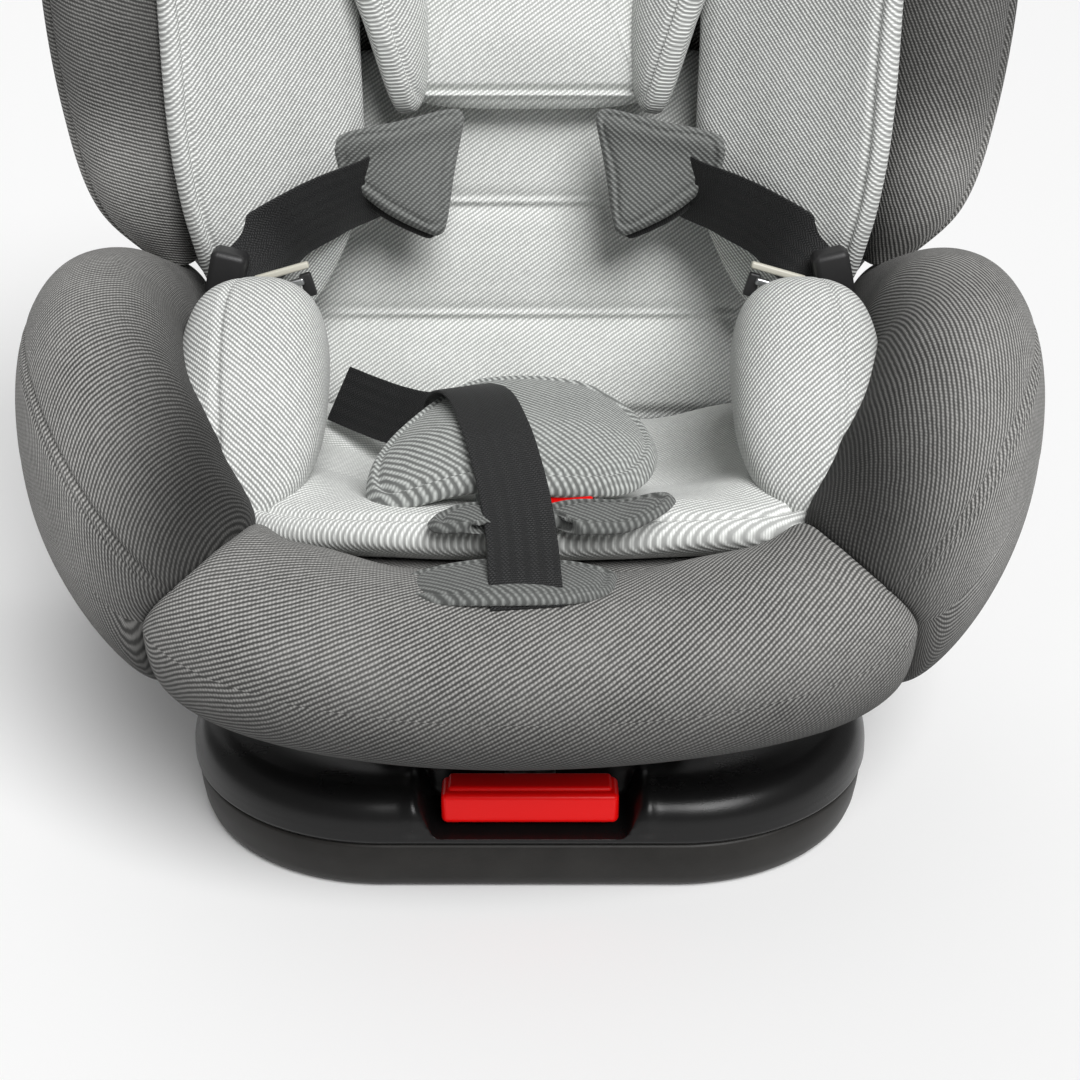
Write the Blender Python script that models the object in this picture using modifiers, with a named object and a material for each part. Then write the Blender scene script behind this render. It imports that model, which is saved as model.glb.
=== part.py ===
"""A rotating child car seat: a padded shell that reclines and turns on a base with sliding ISOFIX arms.

The seat faces -Y, +Z is up, and the origin is the foot of the rotation axis on the floor.
All sizes are in metres.
"""

import math

import bmesh
import bpy
import numpy as np
from mathutils import Matrix, Vector

# Base
BASE_HALF = 0.168
BASE_FRONT = -0.200
BASE_REAR = 0.235
BASE_CORNER = 0.070
PARTING_Z = 0.023
RIM_Z = 0.051
WELL_RADIUS = 0.152
WELL_Z = 0.034
WALL = 0.003
GAP = 0.0004

# Red handle in the front rim
HANDLE_HALF = 0.0405
HANDLE_LOW = 0.0345
HANDLE_HIGH = 0.0500
RECESS_HALF = 0.0480
RECESS_BACK = -0.165

# Turntable and recline rails
DISC_RADIUS = 0.135
DISC_LOW = 0.0415
DISC_HIGH = 0.058
RAIL_X = 0.068
RECLINE_Z = 0.450
RECLINE_RADIUS = 0.350

# ISOFIX arms, whose centres stand at the standard spacing of 280 mm
ARM_X = 0.140
CONNECTOR_FRONT = 0.238
CONNECTOR_REAR = 0.300

# Backrest
LEAN = math.radians(14.0)
PANEL_FOOT = (0.060, 0.140)

COLOURS = {
    "black_plastic": ((0.012, 0.012, 0.013), 0.42, 0.0),
    "grey_plastic": ((0.20, 0.21, 0.21), 0.45, 0.0),
    "red_plastic": ((0.72, 0.005, 0.006), 0.25, 0.0),
    "steel": ((0.55, 0.56, 0.57), 0.32, 1.0),
    "dark_fabric": ((0.095, 0.091, 0.086), 0.90, 0.0),
    "light_fabric": ((0.42, 0.45, 0.43), 0.90, 0.0),
    "pad_fabric": ((0.14, 0.14, 0.137), 0.90, 0.0),
    "webbing": ((0.012, 0.012, 0.013), 0.70, 0.0),
}

BODY_PLACES = {
    "base": (0.0, 0.0, 0.0),
    "isofix_frame": (0.0, 0.070, 0.0),
    "jaw_left": (-ARM_X, 0.262, 0.014),
    "jaw_right": (ARM_X, 0.262, 0.014),
    "release_left": (-ARM_X, 0.266, 0.033),
    "release_right": (ARM_X, 0.266, 0.033),
    "handle": (0.0, -0.190, 0.044),
    "turntable": (0.0, 0.0, 0.0),
    "seat": (0.0, 0.0, RECLINE_Z),
    "headrest": (0.0, 0.100, 0.302),
    "headrest_lever": (0.0, 0.205, 0.628),
    "buckle": (0.0, -0.070, 0.163),
    "buckle_button": (0.0, -0.150, 0.170),
    "tongue_left": (-0.152, -0.014, 0.240),
    "tongue_right": (0.152, -0.014, 0.240),
    "adjuster_lever": (0.0, -0.200, 0.1565),
}


def clear_scene():
    for obj in list(bpy.data.objects):
        bpy.data.objects.remove(obj)


def collection(name, hidden=False):
    made = bpy.data.collections.new(name)
    bpy.context.scene.collection.children.link(made)
    made.hide_render = hidden
    return made


clear_scene()
PARTS = collection("convertible_car_seat")
CUTTERS = collection("cutters", hidden=True)


def material(slot):
    """The Principled material of a slot, made once."""
    found = bpy.data.materials.get(slot)
    if found:
        return found
    colour, roughness, metallic = COLOURS[slot]
    made = bpy.data.materials.new(slot)
    made.use_nodes = True
    shader = made.node_tree.nodes["Principled BSDF"]
    shader.inputs["Base Color"].default_value = (*colour, 1.0)
    shader.inputs["Roughness"].default_value = roughness
    shader.inputs["Metallic"].default_value = metallic
    return made


def body_empties():
    """One empty for each moving body, on its joint's axis."""
    empties = {}
    for name, place in BODY_PLACES.items():
        empty = bpy.data.objects.new(f"axis_{name}", None)
        empty.location = place
        PARTS.objects.link(empty)
        empties[name] = empty
    return empties


BODIES = body_empties()


def attach(obj, slot, body):
    """Gives an object its material and its body, without moving it."""
    PARTS.objects.link(obj)
    obj.data.materials.append(material(slot))
    place = Matrix.Translation(BODY_PLACES[body])
    obj.parent = BODIES[body]
    obj.matrix_parent_inverse = place.inverted()
    return obj


def from_bmesh(name, bm):
    mesh = bpy.data.meshes.new(name)
    bm.to_mesh(mesh)
    bm.free()
    return bpy.data.objects.new(name, mesh)


def block(low, high, bevel=0.0, segments=2):
    """A box between two corners, with its edges rounded."""
    bm = bmesh.new()
    bmesh.ops.create_cube(bm, size=1.0)
    size = Vector(high) - Vector(low)
    centre = (Vector(high) + Vector(low)) / 2
    bmesh.ops.transform(bm, matrix=Matrix.Translation(centre) @ Matrix.Diagonal((*size, 1.0)), verts=bm.verts)
    if bevel:
        bmesh.ops.bevel(bm, geom=list(bm.edges), offset=bevel, segments=segments, profile=0.5, affect="EDGES")
    return bm


def drum(radius, low, high, centre=(0.0, 0.0), sides=48):
    """An upright cylinder between two heights."""
    bm = bmesh.new()
    bmesh.ops.create_cone(bm, cap_ends=True, segments=sides, radius1=radius, radius2=radius, depth=high - low)
    bmesh.ops.translate(bm, vec=(*centre, (low + high) / 2), verts=bm.verts)
    return bm


def skin(rings):
    """Faces that join rings of equally many points, closed by a face at each end."""
    bm = bmesh.new()
    rows = [[bm.verts.new(point) for point in ring] for ring in rings]
    for low, high in zip(rows, rows[1:]):
        for i in range(len(low)):
            j = (i + 1) % len(low)
            bm.faces.new((low[i], low[j], high[j], high[i]))
    bm.faces.new(rows[0][::-1])
    bm.faces.new(rows[-1])
    bmesh.ops.recalc_face_normals(bm, faces=bm.faces)
    return bm


def turned(name, profile, slot, body, steps=48):
    """A turned piece: a closed profile of (radius, z), down its outer side, around the rotation axis."""
    bm = bmesh.new()
    points = [bm.verts.new((r, 0.0, z)) for r, z in profile]
    for a, b in zip(points, points[1:] + points[:1]):
        bm.edges.new((a, b))
    obj = attach(from_bmesh(name, bm), slot, body)
    turn = obj.modifiers.new("turn", "SCREW")
    turn.steps = turn.render_steps = steps
    turn.use_merge_vertices = True
    turn.merge_threshold = 0.00005
    return obj


def plate(name, outline, x, thickness, slot, body):
    """A flat plate in a Y-Z plane, from its outline, centred on that x."""
    curve = bpy.data.curves.new(name, "CURVE")
    curve.dimensions = "2D"
    curve.fill_mode = "BOTH"
    curve.extrude = thickness / 2
    spline = curve.splines.new("POLY")
    spline.points.add(len(outline) - 1)
    for point, (y, z) in zip(spline.points, outline):
        point.co = (y, z, 0.0, 1.0)
    spline.use_cyclic_u = True
    obj = attach(bpy.data.objects.new(name, curve), slot, body)
    turn = Matrix(((0, 0, 1, x), (1, 0, 0, 0), (0, 1, 0, 0), (0, 0, 0, 1)))
    obj.matrix_parent_inverse = obj.matrix_parent_inverse @ turn
    return obj


def solid(name, bm, slot, body):
    return attach(from_bmesh(name, bm), slot, body)


def carve(obj, *cutters):
    """Cuts the bmesh shapes out of an object."""
    for i, bm in enumerate(cutters):
        tool = from_bmesh(f"{obj.name}_cutter_{i}", bm)
        tool.hide_render = True
        tool.display_type = "WIRE"
        CUTTERS.objects.link(tool)
        cut = obj.modifiers.new(f"cut_{i}", "BOOLEAN")
        cut.operation = "DIFFERENCE"
        cut.solver = "EXACT"
        cut.object = tool
    return obj


def soften(obj, levels=1):
    soft = obj.modifiers.new("soft", "SUBSURF")
    soft.levels = soft.render_levels = levels
    obj.data.shade_smooth()
    return obj


CAGE_SIDES = 8
CAGE_GROWTH = 1.10  # a ring of eight points shrinks by this much when it is subdivided


def oval(centre, half_a, half_b, along_a, along_b):
    """Eight points round an oval, grown so that the subdivided surface has the stated size."""
    turns = (np.arange(CAGE_SIDES) + 0.5) * 2 * math.pi / CAGE_SIDES
    a, b = np.array(along_a, float), np.array(along_b, float)
    a, b = a / np.linalg.norm(a), b / np.linalg.norm(b)
    squared = 1.06 * CAGE_GROWTH
    points = [
        np.array(centre) + squared * (half_a * math.cos(t) * a + half_b * math.sin(t) * b) for t in turns
    ]
    return [tuple(p) for p in points]


def cushion(name, rings, slot, body="seat"):
    """A soft form: a coarse cage of ovals, subdivided."""
    return soften(solid(name, skin(rings), slot, body))


def mirrored(points):
    return [[(-x, y, z) for x, y, z in ring] for ring in points]


def pair(name, rings, slot, body="seat"):
    """The right-hand cushion and its mirror image on the left."""
    cushion(f"{name}_right", rings, slot, body)
    cushion(f"{name}_left", mirrored(rings), slot, body)


def tray(name, sections, thickness, slot, body="seat"):
    """A moulded shell: an open surface through rows of points, thickened outwards."""
    bm = bmesh.new()
    rows = [[bm.verts.new(point) for point in section] for section in sections]
    for low, high in zip(rows, rows[1:]):
        for i in range(len(low) - 1):
            bm.faces.new((low[i], low[i + 1], high[i + 1], high[i]))
    obj = solid(name, bm, slot, body)
    wall = obj.modifiers.new("wall", "SOLIDIFY")
    wall.thickness = thickness
    wall.offset = 1.0
    return obj


def band(name, route, across, width, thickness, slot="webbing", body="seat"):
    """A strap: a ribbon along a route, each point with the direction across it, thickened."""
    bm = bmesh.new()
    rows = []
    for point, side in zip(route, across):
        half = Vector(side).normalized() * (width / 2)
        rows.append((bm.verts.new(Vector(point) - half), bm.verts.new(Vector(point) + half)))
    for (a, b), (c, d) in zip(rows, rows[1:]):
        bm.faces.new((a, b, d, c))
    obj = solid(name, bm, slot, body)
    wall = obj.modifiers.new("wall", "SOLIDIFY")
    wall.thickness = thickness
    wall.offset = 0.0
    return obj


def panel_y(z):
    """Where the backrest's front surface stands at a height."""
    return PANEL_FOOT[0] + math.tan(LEAN) * (z - PANEL_FOOT[1])


def rocker_z(y):
    """The underside that keeps its distance from the recline axis."""
    return RECLINE_Z - math.sqrt(RECLINE_RADIUS**2 - y**2)


def base_outline(inset, z, arc=7):
    """The base's rounded rectangle at a height, drawn in by an inset."""
    half, front, rear = BASE_HALF - inset, BASE_FRONT + inset, BASE_REAR - inset
    corner = max(BASE_CORNER - inset, 0.01)
    centres = [(half - corner, rear - corner, 0.0), (corner - half, rear - corner, 90.0)]
    centres += [(corner - half, front + corner, 180.0), (half - corner, front + corner, 270.0)]
    points = []
    for x, y, start in centres:
        for angle in np.radians(np.linspace(start, start + 90.0, arc)):
            points.append((x + corner * math.cos(angle), y + corner * math.sin(angle), z))
    return points


def arm_windows():
    """Openings in the rear wall for the two arms."""
    low, high = 0.0055, 0.0305
    return [block((s * ARM_X - 0.0135, 0.150, low), (s * ARM_X + 0.0135, 0.260, high)) for s in (-1, 1)]


def make_base():
    layers = [(0.010, 0.0), (0.006, 0.003), (0.001, 0.019), (0.0, PARTING_Z)]
    body = skin([base_outline(inset, z) for inset, z in layers])
    lower = solid("base_lower_housing", body, "black_plastic", "base")
    cavity = skin([base_outline(0.014, WALL), base_outline(WALL + 0.001, 0.030)])
    carve(lower, cavity, *arm_windows())

    layers = [(0.0004, PARTING_Z + GAP), (0.0, 0.038), (0.003, 0.0445)]
    layers += [(0.009, 0.049), (0.017, RIM_Z), (0.030, 0.050)]
    body = skin([base_outline(inset, z) for inset, z in layers])
    upper = solid("base_upper_cover", body, "black_plastic", "base")
    cavity = skin([base_outline(0.006, 0.015), base_outline(0.006, WELL_Z - WALL)])
    well = drum(WELL_RADIUS, WELL_Z, 0.080)
    hub = drum(0.026, 0.010, 0.080)
    recess = block((-RECESS_HALF, -0.240, 0.0275), (RECESS_HALF, RECESS_BACK, 0.080), bevel=0.006)
    slide = block((-0.0145, -0.180, 0.0365), (0.0145, -0.140, 0.0465))
    carve(upper, cavity, well, hub, recess, slide, *arm_windows())

    ring = [(0.130, WELL_Z + 0.0065), (0.130, WELL_Z + GAP), (0.116, WELL_Z + GAP), (0.116, WELL_Z + 0.0065)]
    turned("turntable_bearing_ring", ring, "steel", "base")
    spindle = [(0.0, 0.0625), (0.018, 0.0625), (0.018, DISC_HIGH + GAP), (0.0125, DISC_HIGH + GAP)]
    spindle += [(0.0125, 0.008), (0.030, 0.008), (0.030, WALL + GAP), (0.0, WALL + GAP)]
    turned("turntable_spindle", spindle, "steel", "base", steps=32)
    for side, x in (("left", -ARM_X), ("right", ARM_X)):
        guide = solid(
            f"isofix_guide_{side}",
            block((x - 0.0133, 0.120, 0.0035), (x + 0.0133, 0.172, 0.0305), bevel=0.001, segments=1),
            "grey_plastic",
            "base",
        )
        carve(guide, block((x - 0.0115, 0.100, 0.0105), (x + 0.0115, 0.200, 0.0255)))


def make_isofix():
    """Two sliding arms joined by a crossbar, each with a connector, a hook and its release."""
    cross = block((-ARM_X + 0.0115, 0.040, 0.0115), (ARM_X - 0.0115, 0.052, 0.0245), bevel=0.001, segments=1)
    solid("isofix_crossbar", cross, "steel", "isofix_frame")
    for side, x in (("left", -ARM_X), ("right", ARM_X)):
        end = (x + 0.011, CONNECTOR_FRONT - GAP, 0.0245)
        arm = block((x - 0.011, 0.036, 0.0115), end, bevel=0.001, segments=1)
        solid(f"isofix_arm_{side}", arm, "steel", "isofix_frame")
        housing = solid(
            f"isofix_connector_{side}",
            block((x - 0.0165, CONNECTOR_FRONT, 0.004), (x + 0.0165, CONNECTOR_REAR, 0.031), bevel=0.004),
            "black_plastic",
            "isofix_frame",
        )
        jaw_gap = block((x - 0.030, 0.279, 0.0125), (x + 0.030, 0.320, 0.0225))
        pocket = block((x - 0.006, 0.254, -0.010), (x + 0.006, 0.320, 0.0225))
        carve(housing, jaw_gap, pocket)
        hook = [(0.257, 0.010), (0.266, 0.0070), (0.297, 0.0060), (0.297, 0.0205), (0.2915, 0.0205)]
        hook += [(0.2895, 0.0115), (0.277, 0.0115), (0.270, 0.0200), (0.257, 0.0200)]
        plate(f"isofix_jaw_{side}", hook, x, 0.009, "steel", f"jaw_{side}")
        button = block((x - 0.009, 0.258, 0.0314), (x + 0.009, 0.276, 0.0366), bevel=0.0015)
        solid(f"isofix_release_{side}", button, "red_plastic", f"release_{side}")


def make_handle():
    profile = [(-0.1935, HANDLE_LOW), (-0.1755, HANDLE_LOW), (-0.1755, HANDLE_HIGH), (-0.1905, HANDLE_HIGH)]
    profile += [(-0.1935, HANDLE_HIGH - 0.0025)]
    ends = [[(x, y, z) for y, z in profile] for x in (-HANDLE_HALF, HANDLE_HALF)]
    bm = skin(ends)
    bmesh.ops.bevel(bm, geom=list(bm.edges), offset=0.0012, segments=2, profile=0.5, affect="EDGES")
    solid("release_handle", bm, "red_plastic", "handle")
    bolt = block((-0.012, -0.1750, 0.0385), (0.012, -DISC_RADIUS - 0.0012, 0.0445), bevel=0.0008, segments=1)
    solid("lock_bolt", bolt, "steel", "handle")


def make_turntable():
    profile = [(0.0145, DISC_HIGH), (0.128, DISC_HIGH), (DISC_RADIUS, DISC_HIGH - 0.006)]
    profile += [(DISC_RADIUS, DISC_LOW), (0.0145, DISC_LOW)]
    turned("turntable_disc", profile, "black_plastic", "turntable", steps=48)
    reach = 0.108
    radius = RECLINE_RADIUS + 0.004
    arc = [(y, RECLINE_Z - math.sqrt(radius**2 - y**2)) for y in np.linspace(reach, -reach, 13)]
    foot = DISC_HIGH + GAP
    for side, x in (("left", -RAIL_X), ("right", RAIL_X)):
        outline = [(-reach, foot), (reach, foot), *arc]
        plate(f"recline_rail_{side}", outline, x, 0.012, "grey_plastic", "turntable")


def u_section(half_width, rise, power, place, count=11):
    """Points along a U: flat in the middle, rising to its two sides."""
    across = np.linspace(-1.0, 1.0, count)
    return [place(half_width * t, rise * abs(t) ** power) for t in across]


def make_shells():
    stations = [(-0.170, 0.104, 0.010), (-0.140, 0.128, 0.014), (-0.105, 0.148, 0.012)]
    stations += [(-0.050, 0.156, 0.012), (0.000, 0.156, 0.020), (0.050, 0.156, 0.024)]
    stations += [(0.100, 0.150, 0.026), (0.135, 0.140, 0.026)]
    sections = []
    for y, half, rise in stations:
        floor = rocker_z(y) + WALL + 0.0004 if y > -0.150 else 0.134
        sections.append(u_section(half, rise, 4, lambda x, up, y=y, floor=floor: (x, y, floor + up)))
    tray("seat_shell", sections, WALL, "black_plastic")

    sections = []
    levels = [(0.172, 0.150), (0.230, 0.192), (0.330, 0.203)]
    levels += [(0.430, 0.203), (0.510, 0.185), (0.560, 0.140)]
    for z, half in levels:
        back = panel_y(z) + 0.0405
        sections.append(u_section(half, 0.036, 8, lambda x, up, z=z, back=back: (x, back - up, z), count=17))
    tray("backrest_shell", [s[::-1] for s in sections], WALL, "black_plastic")

    sections = []
    for z, half in ((0.185, 0.100), (0.260, 0.118), (0.400, 0.118), (0.520, 0.105), (0.560, 0.080)):
        back = panel_y(z) + 0.072
        sections.append(u_section(half, 0.024, 4, lambda x, up, z=z, back=back: (x, back - up, z)))
    tray("rear_cover", [s[::-1] for s in sections], WALL, "black_plastic")


# The dark horseshoe of padding: centre of each section, its half thickness and half height, and its heading.
LIP = [(0.000, -0.222, 0.125, 0.040, 0.037, 0), (0.050, -0.221, 0.126, 0.040, 0.037, 8)]
LIP += [(0.100, -0.212, 0.130, 0.039, 0.039, 20), (0.136, -0.197, 0.138, 0.037, 0.042, 33)]
ARM = [(0.142, -0.193, 0.140, 0.036, 0.043, 38), (0.176, -0.155, 0.160, 0.034, 0.056, 58)]
ARM += [(0.196, -0.110, 0.185, 0.031, 0.068, 80), (0.197, -0.065, 0.194, 0.031, 0.066, 90)]
ARM += [(0.194, -0.030, 0.196, 0.027, 0.060, 94), (0.190, 0.010, 0.188, 0.024, 0.050, 94)]
ARM += [(0.187, 0.056, 0.185, 0.020, 0.042, 94)]


def horseshoe(stations):
    rings = []
    for x, y, z, thick, high, heading in stations:
        side = (math.sin(math.radians(heading)), -math.cos(math.radians(heading)), 0.0)
        rings.append(oval((x, y, z), thick, high, side, (0.0, 0.0, 1.0)))
    return rings


def make_cover():
    """The dark seat cover: front lip, two arms, the backrest's wings and its middle."""
    right = horseshoe(LIP)
    left = mirrored(right[:0:-1])
    lip = cushion("front_lip", [*left, *right], "dark_fabric")
    carve(lip, block((-0.022, -0.217, 0.146), (0.022, -0.150, 0.200)))
    pair("arm_pad", horseshoe(ARM), "dark_fabric")

    wing = [(0.196, 0.014, 0.256, 0.010, 0.014), (0.205, 0.032, 0.285, 0.016, 0.040)]
    wing += [(0.209, 0.046, 0.330, 0.019, 0.052), (0.211, 0.056, 0.375, 0.020, 0.056)]
    wing += [(0.210, 0.070, 0.430, 0.020, 0.056), (0.200, 0.086, 0.490, 0.019, 0.052)]
    wing += [(0.180, 0.104, 0.535, 0.016, 0.044), (0.158, 0.124, 0.562, 0.010, 0.028)]
    rings = [oval((x, y, z), thick, deep, (1, 0, 0), (0, 1, 0)) for x, y, z, thick, deep in wing]
    pair("back_wing", rings, "dark_fabric")

    rings = []
    levels = [(0.156, 0.105, 0.006), (0.230, 0.122, 0.007), (0.400, 0.122, 0.007)]
    levels += [(0.500, 0.118, 0.007), (0.556, 0.090, 0.006)]
    for z, half, thick in levels:
        rings.append(oval((0, panel_y(z) + 0.030, z), half, thick, (1, 0, 0), (0, 1, 0)))
    cushion("back_pad", rings, "dark_fabric")


def make_insert():
    """The light grey padding: a seat pad with two lobes, and a back panel with two wings."""
    pad = [(-0.195, 0.1685, 0.075, 0.005), (-0.186, 0.1685, 0.104, 0.0075), (-0.150, 0.1575, 0.122, 0.0150)]
    pad += [(-0.100, 0.1440, 0.140, 0.0145), (-0.040, 0.1290, 0.140, 0.0140), (0.020, 0.1250, 0.136, 0.0130)]
    pad += [(0.052, 0.1265, 0.118, 0.0105)]
    rings = [oval((0, y, z), half, thick, (1, 0, 0), (0, 0, 1)) for y, z, half, thick in pad]
    cushion("insert_seat", rings, "light_fabric")

    lobe = [(0.120, -0.140, 0.178, 0.020, 0.012), (0.127, -0.112, 0.198, 0.030, 0.022)]
    lobe += [(0.131, -0.085, 0.220, 0.033, 0.024), (0.131, -0.062, 0.240, 0.024, 0.016)]
    rings = [oval((x, y, z), half, thick, (1, 0, 0), (0, 0.62, 0.78)) for x, y, z, half, thick in lobe]
    pair("insert_lobe", rings, "light_fabric")

    rings = []
    levels = [(0.150, 0.085, 0.008), (0.190, 0.092, 0.010), (0.250, 0.092, 0.010), (0.292, 0.088, 0.009)]
    for z, half, thick in levels:
        rings.append(oval((0, panel_y(z) + 0.010, z), half, thick, (1, 0, 0), (0, 1, 0)))
    cushion("insert_back", rings, "light_fabric")

    wing = [(0.163, 0.022, 0.248, 0.010, 0.010), (0.152, 0.036, 0.285, 0.034, 0.013)]
    wing += [(0.150, 0.046, 0.340, 0.046, 0.014), (0.150, 0.060, 0.400, 0.046, 0.014)]
    wing += [(0.150, 0.076, 0.450, 0.038, 0.013), (0.146, 0.090, 0.478, 0.018, 0.009)]
    rings = [oval((x, y, z), half, thick, (0.62, -0.78, 0), (0.78, 0.62, 0)) for x, y, z, half, thick in wing]
    pair("insert_wing", rings, "light_fabric")


def make_headrest():
    """A padded headrest on a wire frame that runs down behind the backrest."""
    sections = []
    for z, half in ((0.322, 0.084), (0.400, 0.100), (0.520, 0.108), (0.600, 0.095)):
        back = panel_y(z) + 0.010
        sections.append(u_section(half, 0.010, 4, lambda x, up, z=z, back=back: (x, back - up, z)))
    tray("headrest_shell", [s[::-1] for s in sections], WALL, "black_plastic", "headrest")

    rings = []
    levels = [(0.309, 0.050, 0.010), (0.340, 0.053, 0.013), (0.430, 0.054, 0.013)]
    levels += [(0.540, 0.054, 0.013), (0.618, 0.048, 0.010)]
    for z, half, thick in levels:
        rings.append(oval((0, panel_y(z) - 0.016, z), half, thick, (1, 0, 0), (0, 1, 0)))
    cushion("headrest_pad", rings, "light_fabric", "headrest")

    wing = [(0.070, -0.032, 0.322, 0.016, 0.007), (0.076, -0.040, 0.365, 0.030, 0.010)]
    wing += [(0.083, -0.042, 0.430, 0.036, 0.012), (0.088, -0.042, 0.500, 0.036, 0.012)]
    wing += [(0.084, -0.036, 0.560, 0.028, 0.010), (0.074, -0.030, 0.600, 0.012, 0.006)]
    rings = []
    for x, ahead, z, deep, thick in wing:
        rings.append(oval((x, panel_y(z) + ahead, z), deep, thick, (0.25, -0.97, 0), (0.97, 0.25, 0)))
    pair("headrest_wing", rings, "light_fabric", "headrest")

    frame = bpy.data.curves.new("headrest_frame", "CURVE")
    frame.dimensions = "3D"
    frame.bevel_depth = 0.004
    frame.bevel_resolution = 2
    frame.use_fill_caps = True
    low, top = (0.340, 0.592)
    behind = 0.053
    route = [(-0.045, panel_y(low) + behind, low), (-0.045, panel_y(top) + behind, top)]
    route += [(-0.042, panel_y(top) + behind - 0.006, 0.603), (-0.036, panel_y(top) + behind - 0.018, 0.606)]
    route += [(-0.030, panel_y(0.604) + 0.0215, 0.604)]
    route += [(-x, y, z) for x, y, z in reversed(route)]
    spline = frame.splines.new("POLY")
    spline.points.add(len(route) - 1)
    for point, place in zip(spline.points, route):
        point.co = (*place, 1.0)
    attach(bpy.data.objects.new("headrest_frame", frame), "steel", "headrest")
    lever = block((-0.024, 0.184, 0.612), (0.024, 0.204, 0.622), bevel=0.002)
    solid("headrest_lever", lever, "red_plastic", "headrest_lever")


def make_harness():
    """Shoulder straps in their pads, tongues, buckle, crotch strap and the adjuster."""
    across = [(0.0, -0.45, 0.9)] * 5
    right = [(0.080, 0.064, 0.244), (0.096, 0.048, 0.246), (0.112, 0.030, 0.250)]
    right += [(0.126, 0.014, 0.254), (0.138, 0.004, 0.256)]
    band("shoulder_strap_right", right, across, 0.036, 0.0014)
    band("shoulder_strap_left", [(-x, y, z) for x, y, z in right], across, 0.036, 0.0014)
    sleeve = [(0.070, 0.268, 0.026, 0.0060, 0.018), (0.066, 0.282, 0.028, 0.0065, 0.018)]
    sleeve += [(0.062, 0.297, 0.024, 0.0055, 0.017)]
    rings = []
    for x, z, half, thick, gap in sleeve:
        rings.append(oval((x, panel_y(z) - gap, z), half, thick, (0.95, -0.3, 0), (0.3, 0.95, 0)))
    pair("shoulder_pad", rings, "pad_fabric")
    for side, sign in (("left", -1), ("right", 1)):
        body = f"tongue_{side}"
        low, high = sorted((sign * 0.142, sign * 0.160))
        solid(body, block((low, -0.024, 0.228), (high, -0.008, 0.254), bevel=0.003), "black_plastic", body)
        low, high = sorted((sign * 0.118, sign * 0.1415))
        solid(f"tongue_plate_{side}", block((low, -0.018, 0.230), (high, -0.0155, 0.250)), "steel", body)

    housing = block((-0.024, -0.161, 0.1745), (0.032, -0.097, 0.1900), bevel=0.004)
    solid("buckle_housing", housing, "black_plastic", "buckle")
    carve(bpy.data.objects["buckle_housing"], block((0.006, -0.175, 0.1775), (0.028, -0.151, 0.1870)))
    button = block((0.0065, -0.164, 0.178), (0.0275, -0.1555, 0.1865), bevel=0.0015)
    solid("buckle_button", button, "red_plastic", "buckle_button")
    widths = [(-0.068, 0.45), (-0.045, 0.92), (0.0, 1.0), (0.038, 0.92), (0.058, 0.45)]
    rings = []
    for x, wide in widths:
        rings.append(oval((x, -0.118, 0.1985), 0.042 * wide, 0.006 * wide, (0, 1, 0), (0, 0, 1)))
    cushion("buckle_pad", rings, "pad_fabric", "buckle")
    crotch = [(0.0, -0.0960, 0.1780), (0.0, -0.078, 0.1750), (0.0, -0.060, 0.1700)]
    band("crotch_strap", crotch, [(1, 0, 0)] * 3, 0.038, 0.0014, body="buckle")

    housing = block((-0.018, -0.2145, 0.1485), (0.018, -0.199, 0.1545), bevel=0.001)
    solid("adjuster_housing", housing, "grey_plastic", "seat")
    lever = block((-0.012, -0.2140, 0.1552), (0.012, -0.200, 0.1578), bevel=0.0008, segments=1)
    solid("adjuster_lever", lever, "red_plastic", "adjuster_lever")
    widths = [(-0.050, 0.4), (-0.030, 0.9), (0.0, 1.0), (0.024, 0.9), (0.040, 0.4)]
    rings = []
    for x, wide in widths:
        rings.append(oval((x, -0.216, 0.1685), 0.016 * wide, 0.0028, (0, 1, -0.12), (0, 0.12, 1)))
    cushion("adjuster_flap", rings, "pad_fabric")

    route = [(-0.002, -0.2100, 0.1740), (-0.004, -0.195, 0.1850), (-0.008, -0.176, 0.1985)]
    route += [(-0.014, -0.150, 0.2080), (-0.024, -0.112, 0.2090), (-0.036, -0.076, 0.2040)]
    route += [(-0.052, -0.048, 0.1830), (-0.067, -0.016, 0.1640), (-0.080, 0.004, 0.1490)]
    route += [(-0.090, 0.018, 0.1450)]
    across = [(1.0, 0.0, 0.0)] * 4 + [(1.0, 0.3, 0.0), (0.9, 0.5, 0.0)] + [(0.8, 0.6, 0.0)] * 4
    band("adjuster_strap", route, across, 0.030, 0.0015)


make_base()
make_isofix()
make_handle()
make_turntable()
make_shells()
make_cover()
make_insert()
make_headrest()
make_harness()
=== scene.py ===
import math

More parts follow.
